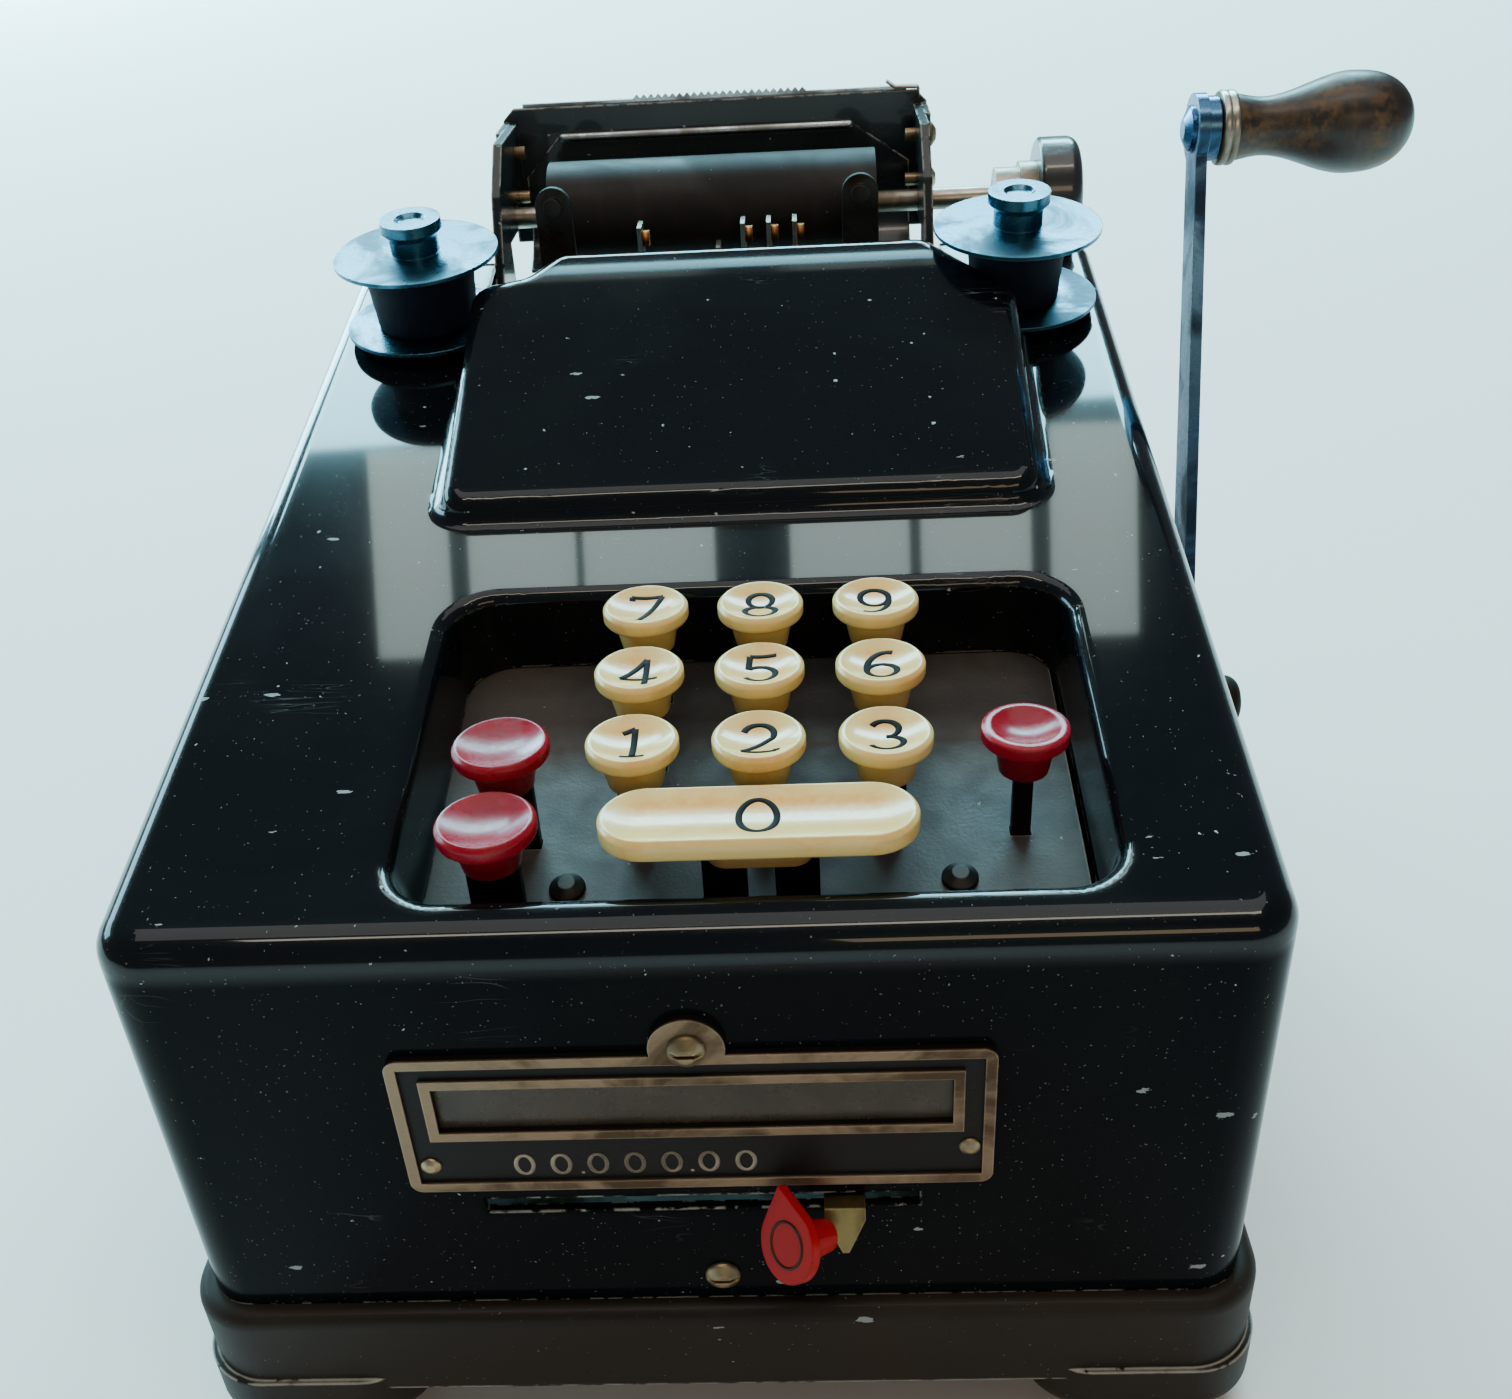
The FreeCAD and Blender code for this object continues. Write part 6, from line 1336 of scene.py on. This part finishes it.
@dataclass
class Carriage(Assembly):
    """Small parts of the carriage: the type slugs, the apron's rolled edge and the paper hook.

    Attributes:
        pitch: from one type bar to the next.
        drops: how far each bar's top is under the highest.
        top: top of the highest bars.
        front: y of the bars' front.
        slug: the slug's width, depth and height.
        slug_place: a slug's side, middle and top, from the bar's middle, front and top.
        bead: left end, right end, y and height of the rolled edge on the paper guide's apron.
        bead_radius: the rolled edge.
        hook: x, height and round of the hook's corners.
        hook_y: where the hook stands.
        hook_half: half the strip's thickness and half its width.
    """

    pitch: float = 5.75
    drops: tuple[float, ...] = (0.0, 10.0, 10.0, 5.0, 0.0, 0.0, 0.0)
    top: float = 151.7
    front: float = 184.0
    slug: Place = (1.7, 2.2, 3.0)
    slug_place: Place = (0.4, 1.5, 1.2)
    bead: tuple[float, float, float, float] = (-38.3, 31.8, 219.9, 164.3)
    bead_radius: float = 0.95
    hook: tuple[Place, ...] = ((47.0, 169.2, 0.0), (47.0, 171.7, 0.5), (41.4, 171.9, 0.6),
                               (39.6, 173.2, 0.0))
    hook_y: float = 221.6
    hook_half: Spot = (0.35, 1.1)

    @staticmethod
    def block(half: np.ndarray) -> np.ndarray:
        """The corners of an oblong section, from half its width and half its height."""
        return np.array([(-1, -1), (1, -1), (1, 1), (-1, 1)], float) * half

    def slugs(self) -> Skin:
        """A small printing slug on the side of each bar."""
        width, depth, height = self.slug
        aside, behind, under = self.slug_place
        section = self.block(np.array((width, depth)) / 2)
        skins = []
        for number, drop in enumerate(self.drops):
            x = (number - len(self.drops) // 2) * self.pitch + aside + width / 2
            y, foot = self.front + behind, self.top - drop - under - height
            path = np.array([(x, y, foot), (x, y, foot + height)])
            skins.append(sweep(path, section, BACK))
        return Skin.joined(skins)

    def paper_hook(self) -> Skin:
        """A bent steel strip on the paper table's upper edge, which holds the paper's end."""
        line = rounded(list(self.hook))
        path = np.column_stack([line[:, 0], np.full(len(line), self.hook_y), line[:, 1]])
        return sweep(path, self.block(np.array(self.hook_half)), BACK)

    def rolled_edge(self, along: int = 41, around: int = 20) -> Skin:
        """The rolled upper edge of the paper guide's apron, a thin round bar with rounded ends.

        Its radius falls at either end as a quarter circle does.

        Args:
            along: how many rings.
            around: points in a ring.

        Returns:
            The bar.
        """
        left, right, y, z = self.bead
        share = np.linspace(0, 1, along)
        x = left + (right - left) * (1 - np.cos(math.pi * share)) / 2
        away = np.minimum(x - left, right - x) / self.bead_radius
        radius = self.bead_radius * np.sqrt(1 - (1 - np.clip(away, 0.02, 1.0)) ** 2)
        ring = np.column_stack([np.zeros(around), circle(1.0, around)])
        path = np.column_stack([x, np.full(along, y), np.full(along, z)])
        return tube(path[:, None] + ring[None] * radius[:, None, None])

    def build(self) -> None:
        """Builds the small parts."""
        place = machine()
        self.add(self.slugs().moved(place), "type_slugs", "printing_bars", Slot.NICKEL,
                 "slug_copper")
        self.add(self.rolled_edge().moved(place), "rolled_edge", "root", Slot.CARRIAGE,
                 "blade_steel")
        self.add(self.paper_hook().moved(place), "paper_hook", "root", Slot.NICKEL)


@dataclass
class Crank(Assembly):
    """The turned grip and the beaded ferrule on it.

    Attributes:
        radius: the ferrule's beads.
        bead: how far the beads stand out.
        inner: the ferrule's inside, within the grip.
        length: the ferrule's length along the grip.
        grip: the grip's length.
        start: the grip's radius at the ferrule.
        neck: the grip's neck, as its place along the grip and its radius.
        bulge: the grip's thickest place, along the grip; it is as thick there as the CAD grip.
        bore: the radius of the pin's bore.
        deep: how far the bore runs in.
    """

    radius: float = 6.95
    bead: float = 0.28
    inner: float = 6.2
    length: float = 3.0
    grip: float = 37.2
    start: float = 6.6
    neck: Spot = (8.6, 5.4)
    bulge: float = 25.0
    bore: float = 2.55
    deep: float = 30.0

    def handle(self, widest: float) -> np.ndarray:
        """The grip's profile.

        From the ferrule to the neck and on to the thickest place the radius follows
        t * t * (3 - 2 * t). From there it is the bulge's radius times
        (1 - u ** 2.5) ** 0.47, where u runs from 0 to 1 at the end.

        Args:
            widest: radius of the thickest place.

        Returns:
            Radius and height of each ring, down the outside and back along the bore.
        """
        share = np.linspace(0.0, 1.0, 33)
        flow = share * share * (3 - 2 * share)
        turn = np.sin(share * math.pi / 2)
        along, thin = self.neck
        first = np.column_stack([self.start + (thin - self.start) * flow, along * share])
        second = np.column_stack([thin + (widest - thin) * flow,
                                  along + (self.bulge - along) * share])
        last = np.column_stack([widest * np.maximum(1 - turn ** 2.5, 0.0) ** 0.47,
                                self.bulge + (self.grip - self.bulge) * turn])
        last[-1, 0] = 0.01
        bore = [(0.01, self.deep), (self.bore, self.deep), (self.bore, 0.0)]
        return np.vstack([first, second[1:], last[1:], np.array(bore)])

    def ferrule(self) -> np.ndarray:
        """The ferrule's profile: two beads, each part of a circle, on a ring."""
        rise = np.linspace(0.05, self.length, 25)
        bead = np.abs(np.sin(math.pi * rise / self.length * 2)) ** 0.5
        outside = np.column_stack([self.radius - self.bead + self.bead * bead, rise])
        return np.vstack([outside, np.column_stack([np.full(2, self.inner), rise[[-1, 0]]])])

    def build(self) -> None:
        """Turns the grip in place of the CAD one, and its ferrule."""
        box = Extent.of("crank_grip")
        foot = Matrix.Translation((box.low.x, box.middle.y, box.middle.z))
        place = foot @ Matrix.Rotation(math.pi / 2, 4, "Y")
        widest = (box.high.y - box.low.y) / 2 / MM - 0.01
        grip = lathe(self.handle(widest), ring=True).moved(place)
        self.add(grip, "turned_grip", "grip", Slot.GRIP, replaces=("crank_grip",))
        ferrule = lathe(self.ferrule(), ring=True).moved(place)
        self.add(ferrule, "grip_ferrule", "grip", Slot.NICKEL)


# The picture: camera, lights and floor


@dataclass
class Studio:
    """The photograph's viewpoint over a pale floor, under soft lamps.

    Attributes:
        eye: where the photograph was taken from, in millimetres.
        right: which way the picture's right side lies.
        down: which way its lower side lies.
        focal_pixels: the focal length, in pixels of the photograph.
        sensor: the sensor's width, in millimetres.
        floor_reach: half the floor's width, in metres.
        floor_tone: the floor's colour.
        panes: left and right edge of each window pane, in metres.
        window_y: how far behind the window is.
        window_low: height of its lower edge.
        window_high: height of its upper edge.
        window_glow: power of the panes for each square metre, over pi.
        window_tone: the panes' colour.
        room_tone: colour of the room's faint light.
        room_glow: its strength.
        lamps: name, place, size, power and colour of each soft lamp.
    """

    eye: Place = (-5.45, -259.32, 239.35)
    right: Place = (0.99862, 0.01780, -0.04941)
    down: Place = (-0.03245, -0.53056, -0.84703)
    focal_pixels: float = 1514.0
    sensor: float = 36.0
    floor_reach: float = 8.0
    floor_tone: Colour = (0.88, 0.81, 0.775)
    panes: tuple[Spot, ...] = ((-1.15, -0.95), (-0.90, -0.62), (-0.60, -0.26), (-0.065, 0.24),
                               (0.27, 0.55), (0.60, 0.82))
    window_y: float = 2.4
    window_low: float = 2.58
    window_high: float = 3.12
    window_glow: float = 7.5
    window_tone: Colour = (0.76, 0.97, 0.92)
    room_tone: Colour = (0.68, 0.83, 0.92)
    room_glow: float = 0.2
    lamps: tuple[tuple[str, Place, Spot, float, Colour], ...] = (
        ("sky_light", (-0.1, 2.5, 2.0), (3.0, 0.75), 250.0, (0.36, 0.84, 1.0)),
        ("side_light", (-1.5, 2.3, 0.7), (0.9, 1.1), 100.0, (0.34, 0.82, 1.0)),
        ("left_light", (-1.9, 0.9, 0.75), (1.5, 0.6), 40.0, (0.40, 0.82, 1.0)),
        ("front_light", (0.35, -1.3, 0.75), (0.7, 0.25), 2.5, (1.0, 0.74, 0.46)),
        ("strip_light", (0.1, -0.75, 2.3), (2.2, 0.22), 18.0, (1.0, 0.90, 0.74)),
        ("top_light", (0.0, 0.2, 2.5), (2.6, 1.6), 22.0, (0.98, 0.97, 0.95)),
    )

    def camera(self) -> None:
        """Puts the camera where the photograph was taken from."""
        data = bpy.data.cameras.new("photo_camera")
        data.sensor_width = self.sensor
        data.lens = self.sensor * self.focal_pixels / PHOTO_WIDTH
        data.clip_start, data.clip_end = 0.01, 50.0
        right, up = Vector(self.right), -Vector(self.down)
        place = Matrix((right, up, right.cross(up))).transposed().to_4x4()
        place.translation = Vector(self.eye) * MM
        made = linked("photo_camera", data)
        made.matrix_world = place
        bpy.context.scene.camera = made

    def floor(self) -> None:
        """A pale plain floor."""
        reach = self.floor_reach
        points = np.array([(-reach, -reach, 0), (reach, -reach, 0), (reach, reach, 0),
                           (-reach, reach, 0)], float)
        made = linked("floor", Skin(points, [np.array([[0, 1, 2, 3]])]).mesh("floor"))
        paint = bpy.data.materials.new("floor_paint")
        paint.use_nodes = True
        shader = paint.node_tree.nodes["Principled BSDF"]
        shader.inputs["Base Color"].default_value = solid(self.floor_tone)
        shader.inputs["Roughness"].default_value = 0.9
        made.data.materials.append(paint)

    def lamp(self, name: str, place: Place, size: Spot, power: float, colour: Colour,
             aim: Place = (0.0, 0.0, 0.08)) -> None:
        """A rectangular soft lamp that faces a point.

        Args:
            name: the lamp's name.
            place: its centre, in metres.
            size: its width and height, in metres.
            power: its power, in watts.
            colour: its colour.
            aim: the point that it faces, in metres.
        """
        data = bpy.data.lights.new(name, "AREA")
        data.shape = "RECTANGLE"
        data.size, data.size_y = size
        data.energy = power
        data.color = colour
        made = linked(name, data)
        made.location = place
        made.rotation_euler = (Vector(aim) - Vector(place)).to_track_quat("-Z", "Y").to_euler()

    def window(self) -> None:
        """A window behind and above the machine, as a row of panes that the enamel mirrors."""
        level, high = (self.window_low + self.window_high) / 2, self.window_high - self.window_low
        for number, (left, right) in enumerate(self.panes):
            x, wide = (left + right) / 2, right - left
            power = self.window_glow * math.pi * wide * high
            self.lamp("window_pane_%d" % number, (x, self.window_y, level), (wide, high), power,
                      self.window_tone, (x, 0.0, 0.1))

    def build(self) -> None:
        """Sets the whole picture up: camera, floor, window, lamps and the room's faint light."""
        self.camera()
        self.floor()
        self.window()
        for lamp in self.lamps:
            self.lamp(*lamp)
        world = bpy.data.worlds.new("room")
        bpy.context.scene.world = world
        world.use_nodes = True
        background = world.node_tree.nodes["Background"]
        background.inputs["Color"].default_value = solid(self.room_tone)
        background.inputs["Strength"].default_value = self.room_glow
        LOG.info("studio ready")


def main() -> None:
    """Builds the machine's looks round the frame."""
    logging.basicConfig(level=logging.INFO, format="%(name)s: %(message)s")
    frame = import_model()
    Studio().build()
    finishes = Finishes(Effects())
    finishes.dress(frame["record"], frame["nodes"])
    for assembly in (Keyboard, Indicator, RibbonDrive, Carriage, Crank):
        assembly(finishes).build()


if __name__ == "__main__":
    main()
